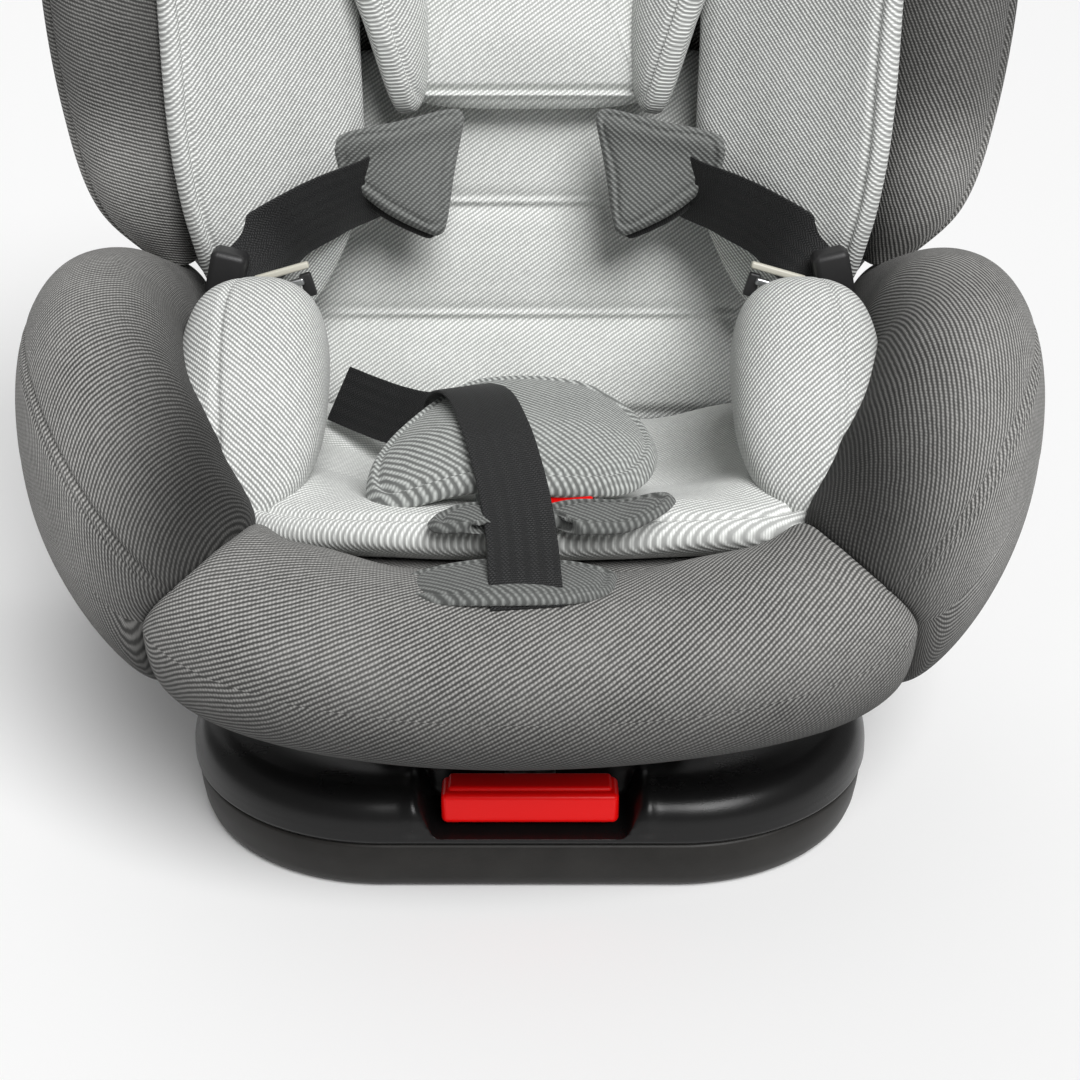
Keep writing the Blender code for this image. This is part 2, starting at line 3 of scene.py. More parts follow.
import bpy
import numpy as np
from mathutils import Matrix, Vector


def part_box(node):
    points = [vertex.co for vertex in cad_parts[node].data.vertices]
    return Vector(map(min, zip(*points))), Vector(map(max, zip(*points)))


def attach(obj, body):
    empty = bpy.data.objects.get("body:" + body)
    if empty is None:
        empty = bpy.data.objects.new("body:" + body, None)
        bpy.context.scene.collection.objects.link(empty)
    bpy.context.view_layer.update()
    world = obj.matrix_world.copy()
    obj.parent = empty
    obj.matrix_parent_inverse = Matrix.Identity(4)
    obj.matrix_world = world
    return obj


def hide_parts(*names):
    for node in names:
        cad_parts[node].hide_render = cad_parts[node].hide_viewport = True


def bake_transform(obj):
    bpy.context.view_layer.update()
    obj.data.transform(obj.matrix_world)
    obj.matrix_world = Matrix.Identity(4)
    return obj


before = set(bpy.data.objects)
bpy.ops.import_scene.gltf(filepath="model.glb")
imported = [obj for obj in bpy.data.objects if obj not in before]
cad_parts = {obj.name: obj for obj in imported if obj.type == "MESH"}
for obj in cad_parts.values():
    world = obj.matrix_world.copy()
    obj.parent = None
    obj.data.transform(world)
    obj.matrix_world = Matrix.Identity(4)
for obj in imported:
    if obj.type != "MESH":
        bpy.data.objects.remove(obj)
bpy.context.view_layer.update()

bl_info = {
    "name": "Rotating child seat looks",
    "version": (1, 0, 0),
    "blender": (4, 5, 0),
    "location": "3D View > Sidebar > Child Seat",
    "description": "Makes the padding, webbing, shells and finishes of a rotating child seat",
    "category": "Add Mesh",
}

LEAN = math.radians(14.0)
UP_BACK = np.array([0.0, math.sin(LEAN), math.cos(LEAN)])
RIM_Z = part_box("base_upper_cover")[1].z
BASE_LOW, BASE_HIGH = (np.array(corner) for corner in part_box("base_lower_housing"))
PARTING_Z = 0.0265
SIDES = (("left", -1.0), ("right", 1.0))


# ---------------------------------------------------------------- curves and grids


def ease(x):
    """0 below 0, 1 above 1, and a smooth step between them."""
    x = np.clip(x, 0.0, 1.0)
    return x * x * (3.0 - 2.0 * x)


def bell(x, width):
    """A bump of height 1 around x = 0 that falls off over the width."""
    return np.exp(-((x / width) ** 2))


def through(points, count, closed=False):
    """Points spaced evenly along the smooth curve through the given ones.

    Each span is the cubic whose end slopes are half the distance between the neighbours of its ends.
    """
    p = np.asarray(points, float)
    if closed:
        p = np.vstack([p[-1:], p, p[:2]])
    else:
        p = np.vstack([2 * p[0] - p[1], p, 2 * p[-1] - p[-2]])
    spans = len(p) - 3
    t = np.linspace(0.0, spans, max(spans * 40, 400))
    i = np.minimum(t.astype(int), spans - 1)
    f = (t - i)[:, None]
    a, b, c, d = p[i], p[i + 1], p[i + 2], p[i + 3]
    fine = 0.5 * (2 * b + (c - a) * f + (2 * a - 5 * b + 4 * c - d) * f**2 + (3 * b - a - 3 * c + d) * f**3)
    walked = np.concatenate([[0.0], np.cumsum(np.linalg.norm(np.diff(fine[:, :3], axis=0), axis=1))])
    wanted = np.linspace(0.0, walked[-1], count, endpoint=not closed)
    return np.stack([np.interp(wanted, walked, fine[:, k]) for k in range(fine.shape[1])], axis=1)


def unit(v):
    """Each vector divided by its length."""
    return v / np.maximum(np.linalg.norm(v, axis=-1, keepdims=True), 1e-12)


def surface(name, points, uv, wrap=True, poles=True):
    """A mesh object from a grid of points (rows, columns, 3) and its pattern coordinates in metres.

    With wrap the last column joins the first, and uv then has one column more. With poles each end row is
    closed by a fan round its middle. Faces are turned outwards by the sign of the enclosed volume.
    """
    rows, cols = points.shape[:2]
    wide = cols if wrap else cols - 1
    i, j = np.meshgrid(np.arange(rows - 1), np.arange(wide), indexing="ij")
    k = (j + 1) % cols
    quads = (
        np.stack([i * cols + j, i * cols + k, (i + 1) * cols + k, (i + 1) * cols + j], axis=-1).reshape(-1,
        4)
    )
    uv_cols = uv.shape[1]
    quad_uv = np.stack(
        [i * uv_cols + j, i * uv_cols + j + 1, (i + 1) * uv_cols + j + 1, (i + 1) * uv_cols + j], axis=-1
    )
    quad_uv = quad_uv.reshape(-1, 4)
    verts = points.reshape(-1, 3)
    flat_uv = uv.reshape(-1, 2)
    fans = np.zeros((0, 3), int)
    fan_uv = np.zeros((0, 3), int)
    if poles:
        verts = np.vstack([verts, points[0].mean(0), points[-1].mean(0)])
        flat_uv = np.vstack([flat_uv, uv[0].mean(0), uv[-1].mean(0)])
        c = np.arange(cols)
        n = (c + 1) % cols
        first, last = rows * cols, rows * cols + 1
        low, high = (rows - 1) * cols, (rows - 1) * uv_cols
        fans = np.vstack([np.stack([n, c, c * 0 + first], 1), np.stack([low + c, low + n, c * 0 + last], 1)])
        uv_first, uv_last = rows * uv_cols, rows * uv_cols + 1
        fan_uv = np.vstack(
            [np.stack([c + 1, c, c * 0 + uv_first], 1), np.stack([high + c, high + c + 1, c * 0 + uv_last], 1)]
        )
    tri = np.vstack([quads[:, [0, 1, 2]], quads[:, [0, 2, 3]], fans])
    a, b, d = verts[tri[:, 0]], verts[tri[:, 1]], verts[tri[:, 2]]
    if poles and (a * np.cross(b, d)).sum() < 0:
        quads, quad_uv, fans, fan_uv = quads[:, ::-1], quad_uv[:, ::-1], fans[:, ::-1], fan_uv[:, ::-1]
    mesh = bpy.data.meshes.new(name)
    mesh.from_pydata(verts.tolist(), [], quads.tolist() + fans.tolist())
    layer = mesh.uv_layers.new(name="weave")
    order = np.concatenate([quad_uv.reshape(-1), fan_uv.reshape(-1)])
    layer.data.foreach_set("uv", flat_uv[order].astype(np.float32).reshape(-1))
    mesh.shade_smooth()
    obj = bpy.data.objects.new(name, mesh)
    bpy.context.scene.collection.objects.link(obj)
    return obj


def finish_piece(obj, material, body, nodes=()):
    """Paints a piece, joins it to its body and hides the parts of the frame it stands for."""
    obj.data.materials.clear()
    obj.data.materials.append(material)
    if nodes:
        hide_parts(*nodes)
    if body is not None:
        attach(obj, body)
    return obj


def mirror_x(points):
    """The points with x turned to minus x."""
    return points * np.array([-1.0, 1.0, 1.0])


def cushion(
    name, outline, origin, across, upward, thick, bend=None, relief=None, edge=3.0, rows=70, cols=200,
    side=1.0, shape=None, puffed=0.0
):
    """A stuffed pad: an outline in its own plane, with a front and a back that meet round the rim.

    A ring is the outline shrunk by s, and it stands off the plane by thick times the 2.2nd root of one less s
    to the power edge. bend moves the whole pad off its plane, relief adds to the front, as functions of the
    position in the plane and of the distance from the rim, and shape moves the finished points.
    """
    across, upward = unit(np.array(across, float)), np.array(upward, float)
    normal = unit(np.cross(across, upward))
    ring = through(outline, cols, closed=True)
    middle = ring.mean(0)
    s = np.sin(np.linspace(0.0, math.pi / 2, rows // 2 + 1))
    s = np.concatenate([s, s[-2::-1]])[:, None]
    front = np.ones_like(s)
    front[rows // 2 + 1 :] = -1.0
    level = front * np.maximum(1.0 - s**edge, 0.0) ** (1 / 2.2)
    u = middle[0] + (ring[:, 0] - middle[0])[None, :] * s
    v = middle[1] + (ring[:, 1] - middle[1])[None, :] * s
    inset = (1.0 - s) * np.linalg.norm(ring - middle, axis=1)[None, :]
    off = thick * level * np.ones_like(u)
    if relief is not None:
        off = off + relief(u, v, inset) * np.clip(level * 6.0, 0.0, 1.0)
    if bend is not None:
        off = off + bend(u, v)
    points = np.array(origin) + u[..., None] * across + v[..., None] * upward + off[..., None] * normal
    if shape is not None:
        points = shape(points)
    uv = np.stack([u, v], axis=-1)
    if side < 0:
        points = mirror_x(points)
    uv = np.concatenate([uv, uv[:, :1]], axis=1)
    points = points[1:-1]
    if puffed:
        points = swollen(points, puffed)
    return surface(name, points, uv[1:-1])


def spread(wanted, kept, size, wrap):
    """Weights that carry values on the kept lines of a grid to all its lines, in straight steps."""
    weights = np.zeros((len(wanted), len(kept)))
    if wrap:
        kept = np.append(kept, kept[0] + size)
    at = np.clip(np.searchsorted(kept, wanted, side="right") - 1, 0, len(kept) - 2)
    f = (wanted - kept[at]) / (kept[at + 1] - kept[at])
    rows = np.arange(len(wanted))
    weights[rows, at] += 1.0 - f
    weights[rows, (at + 1) % weights.shape[1]] += f
    return weights


# How far the cloth simulation may push each kind of pad out: a larger cap would bury the straps and the flap.
RIM_SWELL = 0.0015
BACK_WING_SWELL = 0.002
SEAT_SWELL = 0.0015
LOBE_SWELL = 0.0012
INSERT_WING_SWELL = 0.0008
HEADREST_SWELL = 0.0015


def swollen(points, cap, rows=34, cols=72, pressure=4.0):
    """Stuffs a pad by cloth simulation: a coarse copy swells under pressure, and the fine grid follows it.

    No point moves further than the cap. The result is blurred along the grid by half a coarse cell.
    """
    r = np.linspace(0, points.shape[0] - 1, rows).round().astype(int)
    c = np.arange(cols) * points.shape[1] // cols
    coarse = points[np.ix_(r, c)]
    sack = surface("stuffing", coarse, np.zeros((rows, cols + 1, 2)))
    cloth = sack.modifiers.new("cloth", "CLOTH")
    cloth.settings.use_pressure = True
    cloth.settings.uniform_pressure_force = pressure
    cloth.settings.effector_weights.gravity = 0.0
    cloth.settings.quality = 4
    cloth.settings.tension_stiffness = 12.0
    cloth.settings.shear_stiffness = 4.0
    cloth.settings.bending_stiffness = 0.4
    scene = bpy.context.scene
    for step in range(1, 21):
        scene.frame_set(step)
    worked = sack.evaluated_get(bpy.context.evaluated_depsgraph_get())
    co = np.empty(len(worked.data.vertices) * 3)
    worked.data.vertices.foreach_get("co", co)
    moved = co.reshape(-1, 3)[: rows * cols].reshape(rows, cols, 3) - coarse
    bpy.data.objects.remove(sack)
    scene.frame_set(1)
    far = np.linalg.norm(moved, axis=2, keepdims=True)
    moved = moved * np.minimum(1.0, cap / np.maximum(far, 1e-9))
    down = spread(np.arange(points.shape[0]), r, points.shape[0], False)
    round_ = spread(np.arange(points.shape[1]), c, points.shape[1], True)
    full = np.einsum("Rr,rck,Cc->RCk", down, moved, round_)
    reach = max(1, points.shape[1] // cols // 2)
    for _ in range(3):
        full = sum(np.roll(full, k, axis=1) for k in range(-reach, reach + 1)) / (2 * reach + 1)
        padded = np.concatenate([full[:1]] * reach + [full] + [full[-1:]] * reach)
        full = sum(padded[k : k + len(full)] for k in range(2 * reach + 1)) / (2 * reach + 1)
    return points + full


def tube_of_sections(
    name, centres, side, up, half_side, half_up, power=2.3, relief=None, around=150, ends=0.06, puffed=0.0
):
    """A bolster: at each centre an oval section that spans the side and up directions.

    A section point at angle t is side times cos(t) to the power 2/power, and up times sin(t) to the same
    power. The ends draw in over the last part of the length, which makes the sewn seam to the next panel.
    """
    count = len(centres)
    t = np.linspace(0.0, 2 * math.pi, around, endpoint=False)[None, :]
    cos, sin = np.cos(t), np.sin(t)
    a = np.sign(cos) * np.abs(cos) ** (2.0 / power)
    b = np.sign(sin) * np.abs(sin) ** (2.0 / power)
    walked = np.concatenate([[0.0], np.cumsum(np.linalg.norm(np.diff(centres, axis=0), axis=1))])
    from_end = np.minimum(walked, walked[-1] - walked)[:, None]
    grow = 1.0 - ends * np.exp(-from_end / 0.0035)
    shift = np.zeros((count, around)) if relief is None else relief(walked[:, None], t)
    r_side = half_side[:, None] * grow + shift
    r_up = half_up[:, None] * grow + shift
    points = (
        centres[:, None, :] + (a * r_side)[..., None] * side[:, None, :] + (b * r_up)[..., None]
        * up[:, None, :]
    )
    if puffed:
        points = swollen(points, puffed)
    girth = np.linalg.norm(np.diff(points, axis=1, append=points[:, :1]), axis=2)
    v = np.concatenate([np.zeros((count, 1)), np.cumsum(girth, axis=1)], axis=1)
    v = v - v[:, around // 4][:, None]
    u = np.repeat(walked[:, None], around + 1, axis=1)
    return surface(name, points, np.stack([u, v], axis=-1))


def webbing(name, route, across, width, thick, count=120):
    """A woven band: a flat rounded section carried along the curve through the route's points."""
    both = through(np.hstack([np.asarray(route, float), np.asarray(across, float)]), count)
    centre, side = both[:, :3], both[:, 3:]
    along = unit(np.gradient(centre, axis=0))
    side = unit(side - (side * along).sum(1, keepdims=True) * along)
    normal = np.cross(side, along)
    t = np.linspace(0.0, 2 * math.pi, 28, endpoint=False)
    a = np.sign(np.cos(t)) * np.abs(np.cos(t)) ** 0.16 * width / 2
    b = np.sign(np.sin(t)) * np.abs(np.sin(t)) ** 0.5 * thick / 2
    points = centre[:, None, :] + a[None, :, None] * side[:, None, :] + b[None, :, None] * normal[:, None, :]
    walked = np.concatenate([[0.0], np.cumsum(np.linalg.norm(np.diff(centre, axis=0), axis=1))])
    u = np.repeat(np.append(a, a[0])[None, :], count, axis=0)
    v = np.repeat(walked[:, None], len(t) + 1, axis=1)
    return surface(name, points, np.stack([u, v], axis=-1)), centre


def rounded_block(name, low, high, radius, turn=None, about=None, fine=10):
    """A block with round edges: the points of a ball of that radius, pushed out to the block's corners."""
    low, high = np.array(low, float), np.array(high, float)
    mid, half = (low + high) / 2, (high - low) / 2
    f = np.linspace(0.02, math.pi - 0.02, 2 * fine)[:, None]
    t = (np.arange(4 * fine) + 0.5)[None, :] * (2 * math.pi / (4 * fine))
    ball = np.stack([np.sin(f) * np.cos(t), np.sin(f) * np.sin(t), np.cos(f) + 0 * t], axis=-1)
    points = mid + np.sign(ball) * (half - radius) + radius * ball
    if turn is not None:
        pivot = np.array(mid if about is None else about)
        points = (points - pivot) @ np.array(turn).T + pivot
    uv = points[..., :2]
    return surface(name, points, np.concatenate([uv, uv[:, :1]], axis=1))


def turned_by(axis, degrees):
    """The turn by those degrees about one axis, as a 3 by 3 array."""
    return np.array(Matrix.Rotation(math.radians(degrees), 3, axis))


# ---------------------------------------------------------------- materials


class Wires:
    """Short words for adding and linking shader nodes in one tree."""

    def __init__(self, tree):
        self.tree = tree

    def node(self, kind, **values):
        made = self.tree.nodes.new(kind)
        for key, value in values.items():
            setattr(made, key, value)
        return made

    def link(self, source, target):
        self.tree.links.new(source, target)

    def feed(self, socket, value):
        if isinstance(value, bpy.types.NodeSocket):
            self.link(value, socket)
        else:
            socket.default_value = value

    def math(self, operation, a, b=0.0, c=0.0):
        made = self.node("ShaderNodeMath", operation=operation)
        for socket, value in zip(made.inputs, (a, b, c)):
            self.feed(socket, value)
        return made.outputs[0]

    def mix(self, factor, a, b):
        made = self.node("ShaderNodeMix", data_type="RGBA")
        self.feed(made.inputs[0], factor)
        self.feed(made.inputs[6], a)
        self.feed(made.inputs[7], b)
        return made.outputs[2]

    def noise(self, vector, scale, detail=2.0, roughness=0.5):
        made = self.node("ShaderNodeTexNoise")
        self.feed(made.inputs["Vector"], vector)
        made.inputs["Scale"].default_value = scale
        made.inputs["Detail"].default_value = detail
        made.inputs["Roughness"].default_value = roughness
        return made.outputs["Fac"]


def group(name, inputs, outputs, build):
    """A shader node group with named sockets, made once."""
    found = bpy.data.node_groups.get(name)
    if found:
        return found
    tree = bpy.data.node_groups.new(name, "ShaderNodeTree")
    for label, kind, default in inputs:
        socket = tree.interface.new_socket(label, in_out="INPUT", socket_type=kind)
        if default is not None:
            socket.default_value = default
    for label, kind in outputs:
        tree.interface.new_socket(label, in_out="OUTPUT", socket_type=kind)
    w = Wires(tree)
    build(w, w.node("NodeGroupInput").outputs, w.node("NodeGroupOutput").inputs)
    return tree


def twill_group():
    """Slanting ribs of a twill: a wave across the slant, broken up along it by the crossing threads."""

    def build(w, given, out):
        split = w.node("ShaderNodeSeparateXYZ")
        w.link(given["Place"], split.inputs[0])
        cos, sin = w.math("COSINE", given["Slant"]), w.math("SINE", given["Slant"])
        x, y = split.outputs[0], split.outputs[1]
        wander = w.math("MULTIPLY", w.math("SUBTRACT", w.noise(given["Place"], 90.0, 3.0, 0.7), 0.5), 0.0012)
        across = w.math("ADD", w.math("ADD", w.math("MULTIPLY", x, cos), w.math("MULTIPLY", y, sin)), wander)
        along = w.math("SUBTRACT", w.math("MULTIPLY", y, cos), w.math("MULTIPLY", x, sin))
        turn = w.math("DIVIDE", across, given["Pitch"])
        rib = w.math("MULTIPLY_ADD", w.math("SINE", w.math("MULTIPLY", turn, 2 * math.pi)), 0.5, 0.5)
        step = w.math("DIVIDE", along, w.math("MULTIPLY", given["Pitch"], 0.8))
        phase = w.math("ADD", w.math("MULTIPLY", step, 2 * math.pi), w.math("MULTIPLY", turn, math.pi))
        cross = w.math("MULTIPLY_ADD", w.math("SINE", phase), 0.5, 0.5)
        height = w.math("MULTIPLY", rib, w.math("MULTIPLY_ADD", cross, 0.45, 0.55))
        fleck = w.noise(given["Place"], 1300.0, 3.0, 0.75)
        patch = w.noise(given["Place"], 260.0, 2.0, 0.6)
        loose = w.math("ADD", w.math("MULTIPLY", fleck, 0.45), w.math("MULTIPLY", patch, 0.25))
        tone = w.math("ADD", w.math("MULTIPLY", height, 0.72), w.math("SUBTRACT", loose, 0.07))
        w.link(tone, out["Tone"])
        w.link(w.math("ADD", height, w.math("MULTIPLY", fleck, 0.25)), out["Height"])

    inputs = [
        ("Place", "NodeSocketVector", None), ("Pitch", "NodeSocketFloat", 0.0026),
        ("Slant", "NodeSocketFloat", 0.0)
    ]
    return group("Twill weave", inputs, [("Tone", "NodeSocketFloat"), ("Height", "NodeSocketFloat")], build)


def band_group():
    """Webbing: small chevrons in rows across the band, and a ridge along each edge cord."""

    def build(w, given, out):
        split = w.node("ShaderNodeSeparateXYZ")
        w.link(given["Place"], split.inputs[0])
        x, y = split.outputs[0], split.outputs[1]
        rows = w.math("SINE", w.math("MULTIPLY", y, 2 * math.pi / 0.0011))
        zig = w.math("PINGPONG", x, 0.0030)
        twist = w.math("SINE", w.math("MULTIPLY", w.math("ADD", y, zig), 2 * math.pi / 0.0017))
        height = w.math("MULTIPLY_ADD", w.math("ADD", rows, twist), 0.25, 0.5)
        w.link(height, out["Height"])
        fleck = w.noise(given["Place"], 900.0, 2.0)
        w.link(w.math("ADD", w.math("MULTIPLY", height, 0.6), w.math("MULTIPLY", fleck, 0.4)), out["Tone"])

    return group(
        "Webbing weave", [("Place", "NodeSocketVector", None)],
        [("Tone", "NodeSocketFloat"), ("Height", "NodeSocketFloat")], build,
    )


def grain_group():
    """Moulded plastic: a fine leathery grain, faint scratches, and a dusty share that gathers in patches."""

    def build(w, given, out):
        fine = w.noise(given["Place"], 1400.0, 3.0, 0.6)
        stretch = w.node("ShaderNodeMapping")
        stretch.inputs["Rotation"].default_value = (0.3, 0.2, 0.5)
        stretch.inputs["Scale"].default_value = (30.0, 900.0, 500.0)
        w.link(given["Place"], stretch.inputs["Vector"])
        lines = w.noise(stretch.outputs[0], 1.0, 1.0)
        scratch = w.math("SMOOTH_MAX", w.math("MULTIPLY_ADD", lines, 6.0, -4.15), 0.0, 0.05)
        dust = w.noise(given["Place"], 35.0, 4.0, 0.6)
        w.link(
            w.math("ADD", w.math("MULTIPLY", fine, given["Depth"]), w.math("MULTIPLY", scratch, -0.15)),
            out["Height"]
        )
        w.link(w.math("MULTIPLY", w.math("ADD", scratch, dust), 0.5), out["Marks"])
        w.link(dust, out["Dust"])

    return group(
        "Moulded grain", [("Place", "NodeSocketVector", None), ("Depth", "NodeSocketFloat", 1.0)],
        [("Height", "NodeSocketFloat"), ("Marks", "NodeSocketFloat"), ("Dust", "NodeSocketFloat")], build,
    )


def start_material(name, roughness, metallic=0.0):
    """A new material of that name with its shader, in place of an older one."""
    found = bpy.data.materials.get(name)
    if found:
        bpy.data.materials.remove(found)
    made = bpy.data.materials.new(name)
    made.use_nodes = True
    w = Wires(made.node_tree)
    shader = made.node_tree.nodes["Principled BSDF"]
    shader.inputs["Roughness"].default_value = roughness
    shader.inputs["Metallic"].default_value = metallic
    return made, w, shader


def bump(w, shader, height, distance, strength=1.0):
    """Feeds a height through a Bump node to the shader's normal."""
    made = w.node("ShaderNodeBump")
    made.inputs["Distance"].default_value = distance
    made.inputs["Strength"].default_value = strength
    w.feed(made.inputs["Height"], height)
    w.link(made.outputs[0], shader.inputs["Normal"])


def placed_group(w, tree, place, **values):
    """One of the shared groups, placed in a material with its own values."""
    made = w.node("ShaderNodeGroup", node_tree=tree)
    w.link(place, made.inputs["Place"])
    for label, value in values.items():
        made.inputs[label].default_value = value
    return made.outputs


def twill(name, thread, shade, slant, pitch=0.0019, depth=0.0004, fuzz=0.15, painted_shadows=()):
    """Twill cloth: the thread colour on the ribs, its shade between them, and broad soft variation.

    Each painted shadow darkens the cloth's colour by its place on one axis, standing in for shade: most at its
    start, fading smoothly to none at its end. It stays with the cloth when the seat moves.
    """
    made, w, shader = start_material(name, 0.88)
    uv = w.node("ShaderNodeUVMap", uv_map="weave").outputs[0]
    weave = placed_group(w, twill_group(), uv, Pitch=pitch, Slant=slant)
    cloud = w.noise(uv, 25.0, 3.0)
    ramp = w.node("ShaderNodeMapRange")
    ramp.inputs["From Min"].default_value = 0.36
    ramp.inputs["From Max"].default_value = 0.92
    w.link(weave["Tone"], ramp.inputs["Value"])
    colour = w.mix(ramp.outputs[0], (*shade, 1.0), (*thread, 1.0))
    cloth_colour = w.mix(w.math("MULTIPLY", cloud, 0.18), colour, (*[min(1.0, c * 1.5) for c in thread], 1.0))
    # Painted shade: each entry darkens the colour towards a quarter of the gap colour by the object's position.
    for axis, start, end, most in painted_shadows:
        split = w.node("ShaderNodeSeparateXYZ")
        w.link(w.node("ShaderNodeTexCoord").outputs["Object"], split.inputs[0])
        shadow = w.node("ShaderNodeMapRange", interpolation_type="SMOOTHSTEP")
        for label, value in (("From Min", start), ("From Max", end), ("To Min", most), ("To Max", 0.0)):
            shadow.inputs[label].default_value = value
        w.link(w.math("ABSOLUTE", split.outputs[axis]), shadow.inputs["Value"])
        cloth_colour = w.mix(shadow.outputs[0], cloth_colour, (*[c * 0.25 for c in shade], 1.0))
    w.link(cloth_colour, shader.inputs["Base Color"])
    shader.inputs["Sheen Weight"].default_value = fuzz
    shader.inputs["Sheen Roughness"].default_value = 0.5
    shader.inputs["Specular IOR Level"].default_value = 0.2
    bump(w, shader, weave["Height"], depth)
    return made


def woven_band(name, colour):
    """Webbing: the band weave between a darker and a lighter thread."""
    made, w, shader = start_material(name, 0.55)
    uv = w.node("ShaderNodeUVMap", uv_map="weave").outputs[0]
    weave = placed_group(w, band_group(), uv)
    w.link(
        w.mix(weave["Tone"], (*[c * 0.4 for c in colour], 1.0), (*[c * 1.6 for c in colour], 1.0)),
        shader.inputs["Base Color"]
    )
    shader.inputs["Sheen Weight"].default_value = 0.03
    shader.inputs["Specular IOR Level"].default_value = 0.35
    bump(w, shader, weave["Height"], 0.00035)
    return made


def moulded(name, colour, roughness, grain=0.00005, dust_colour=(0.20, 0.19, 0.18), dust=0.05, shine=0.45):
    """Moulded plastic with grain, scratches and a little dust."""
    made, w, shader = start_material(name, roughness)
    place = w.node("ShaderNodeTexCoord").outputs["Object"]
    marks = placed_group(w, grain_group(), place)
    w.link(
        w.mix(w.math("MULTIPLY", marks["Dust"], dust), (*colour, 1.0), (*dust_colour, 1.0)),
        shader.inputs["Base Color"]
    )
    w.link(w.math("MULTIPLY_ADD", marks["Marks"], 0.22, roughness - 0.05), shader.inputs["Roughness"])
    shader.inputs["Specular IOR Level"].default_value = shine
    bump(w, shader, marks["Height"], grain)
    return made


def metal(name, colour, roughness):
    """Zinc-plated steel with fine drawn lines."""
    made, w, shader = start_material(name, roughness, 1.0)
    place = w.node("ShaderNodeTexCoord").outputs["Object"]
    stretch = w.node("ShaderNodeMapping")
    stretch.inputs["Scale"].default_value = (40.0, 40.0, 1500.0)
    w.link(place, stretch.inputs["Vector"])
    lines = w.noise(stretch.outputs[0], 1.0, 2.0)
    shader.inputs["Base Color"].default_value = (*colour, 1.0)
    w.link(w.math("MULTIPLY_ADD", lines, 0.25, roughness - 0.1), shader.inputs["Roughness"])
    bump(w, shader, lines, 0.00003)
    return made


MATERIALS = {}


def make_materials(colours):
    dark, light, pad = (tuple(getattr(colours, key)) for key in ("cover", "insert", "pads"))
    deep = tuple(c * 0.05 for c in dark)
    # Painted shade on the dark cover, each as (axis, start, end, strength): darker below the lip, beside the insert and
    # high on the wings.
    under = (2, 0.085, 0.170, 0.96)
    beside = (0, 0.140, 0.205, 0.85)
    above = (2, 0.340, 0.290, 0.50)
    MATERIALS.update(
        cover_lip=twill("cover twill, lip", dark, deep, 2.25, fuzz=0.05, painted_shadows=[under]),
        cover_left=twill("cover twill, left", dark, deep, 0.30, fuzz=0.05, painted_shadows=[under, beside, above]),
        cover_right=twill("cover twill, right", dark, deep, 2.10, fuzz=0.05, painted_shadows=[under, beside, above]),
        # Painted light: insert is the insert cloth made lighter than on its sides (insert_side), brightening the centre
        # panels, seat pad and headrest cushion.
        insert=twill(
            "insert twill", tuple(min(1.0, c * 1.08) for c in light), tuple(c * 0.42 for c in light), 2.2,
            pitch=0.0020, depth=0.00032
        ),
        insert_side=twill(
            "insert twill, sides", light, tuple(c * 0.24 for c in light), 0.75, pitch=0.0020, depth=0.00032
        ),
        pad=twill("strap pad twill", pad, tuple(c * 0.18 for c in pad), 0.9, pitch=0.0023),
        sleeve=twill(
            "sleeve twill", tuple(c * 0.44 for c in pad), tuple(c * 0.11 for c in pad), 0.9, pitch=0.0021
        ),
        lining=twill(
            "black lining", (0.018, 0.018, 0.018), (0.008, 0.008, 0.008), 0.3, pitch=0.0012, depth=0.0002
        ),
        webbing=woven_band("webbing", (0.0095, 0.0098, 0.0102)),
        base=moulded("base plastic", (0.0055, 0.0055, 0.0057), 0.28, dust=0.02, shine=0.28),
        base_low=moulded(
            "base plastic, underside", (0.0060, 0.0055, 0.0047), 0.44, shine=0.25, grain=0.0001, dust=0.10
        ),
        shell=moulded("shell plastic", (0.013, 0.013, 0.014), 0.46, grain=0.0001, dust=0.06),
        grey=moulded("grey plastic", (0.20, 0.21, 0.21), 0.42, dust_colour=(0.3, 0.3, 0.3)),
        cream=moulded("cream plastic", (0.60, 0.58, 0.50), 0.4, dust_colour=(0.5, 0.5, 0.45)),
        red=moulded(
            "red plastic", tuple(colours.handle), 0.30, grain=0.00001, dust_colour=(0.8, 0.01, 0.01),
            dust=0.02, shine=0.22
        ),
        steel=metal("plated steel", (0.55, 0.56, 0.57), 0.3),
    )


# ---------------------------------------------------------------- settings


def colour_setting(name, default):
    return bpy.props.FloatVectorProperty(
        name=name, description=name, subtype="COLOR", size=3, min=0.0, max=1.0, default=default
    )


class SeatColours(bpy.types.PropertyGroup):
    cover: colour_setting("Seat cover cloth", (0.43, 0.425, 0.41))
    insert: colour_setting("Insert cloth", (0.90, 0.92, 0.89))
    pads: colour_setting("Strap pad cloth", (0.54, 0.56, 0.54))
    handle: colour_setting("Handle and buttons", (0.90, 0.004, 0.004))
    floor: colour_setting("Floor", (0.93, 0.93, 0.93))


class SeatSizes(bpy.types.PropertyGroup):
    seam: bpy.props.FloatProperty(
        name="Seam depth", description="How far a seam draws in", default=0.0022, unit="LENGTH"
    )
    puff: bpy.props.FloatProperty(
        name="Puff", description="How far the quilting stands out", default=0.004, unit="LENGTH"
    )
    strap: bpy.props.FloatProperty(
        name="Adjuster strap", description="Width of its webbing", default=0.030, unit="LENGTH"
    )
    harness: bpy.props.FloatProperty(
        name="Harness strap", description="Width of its webbing", default=0.036, unit="LENGTH"
    )


def sizes():
    return bpy.context.scene.seat_sizes


# ---------------------------------------------------------------- base


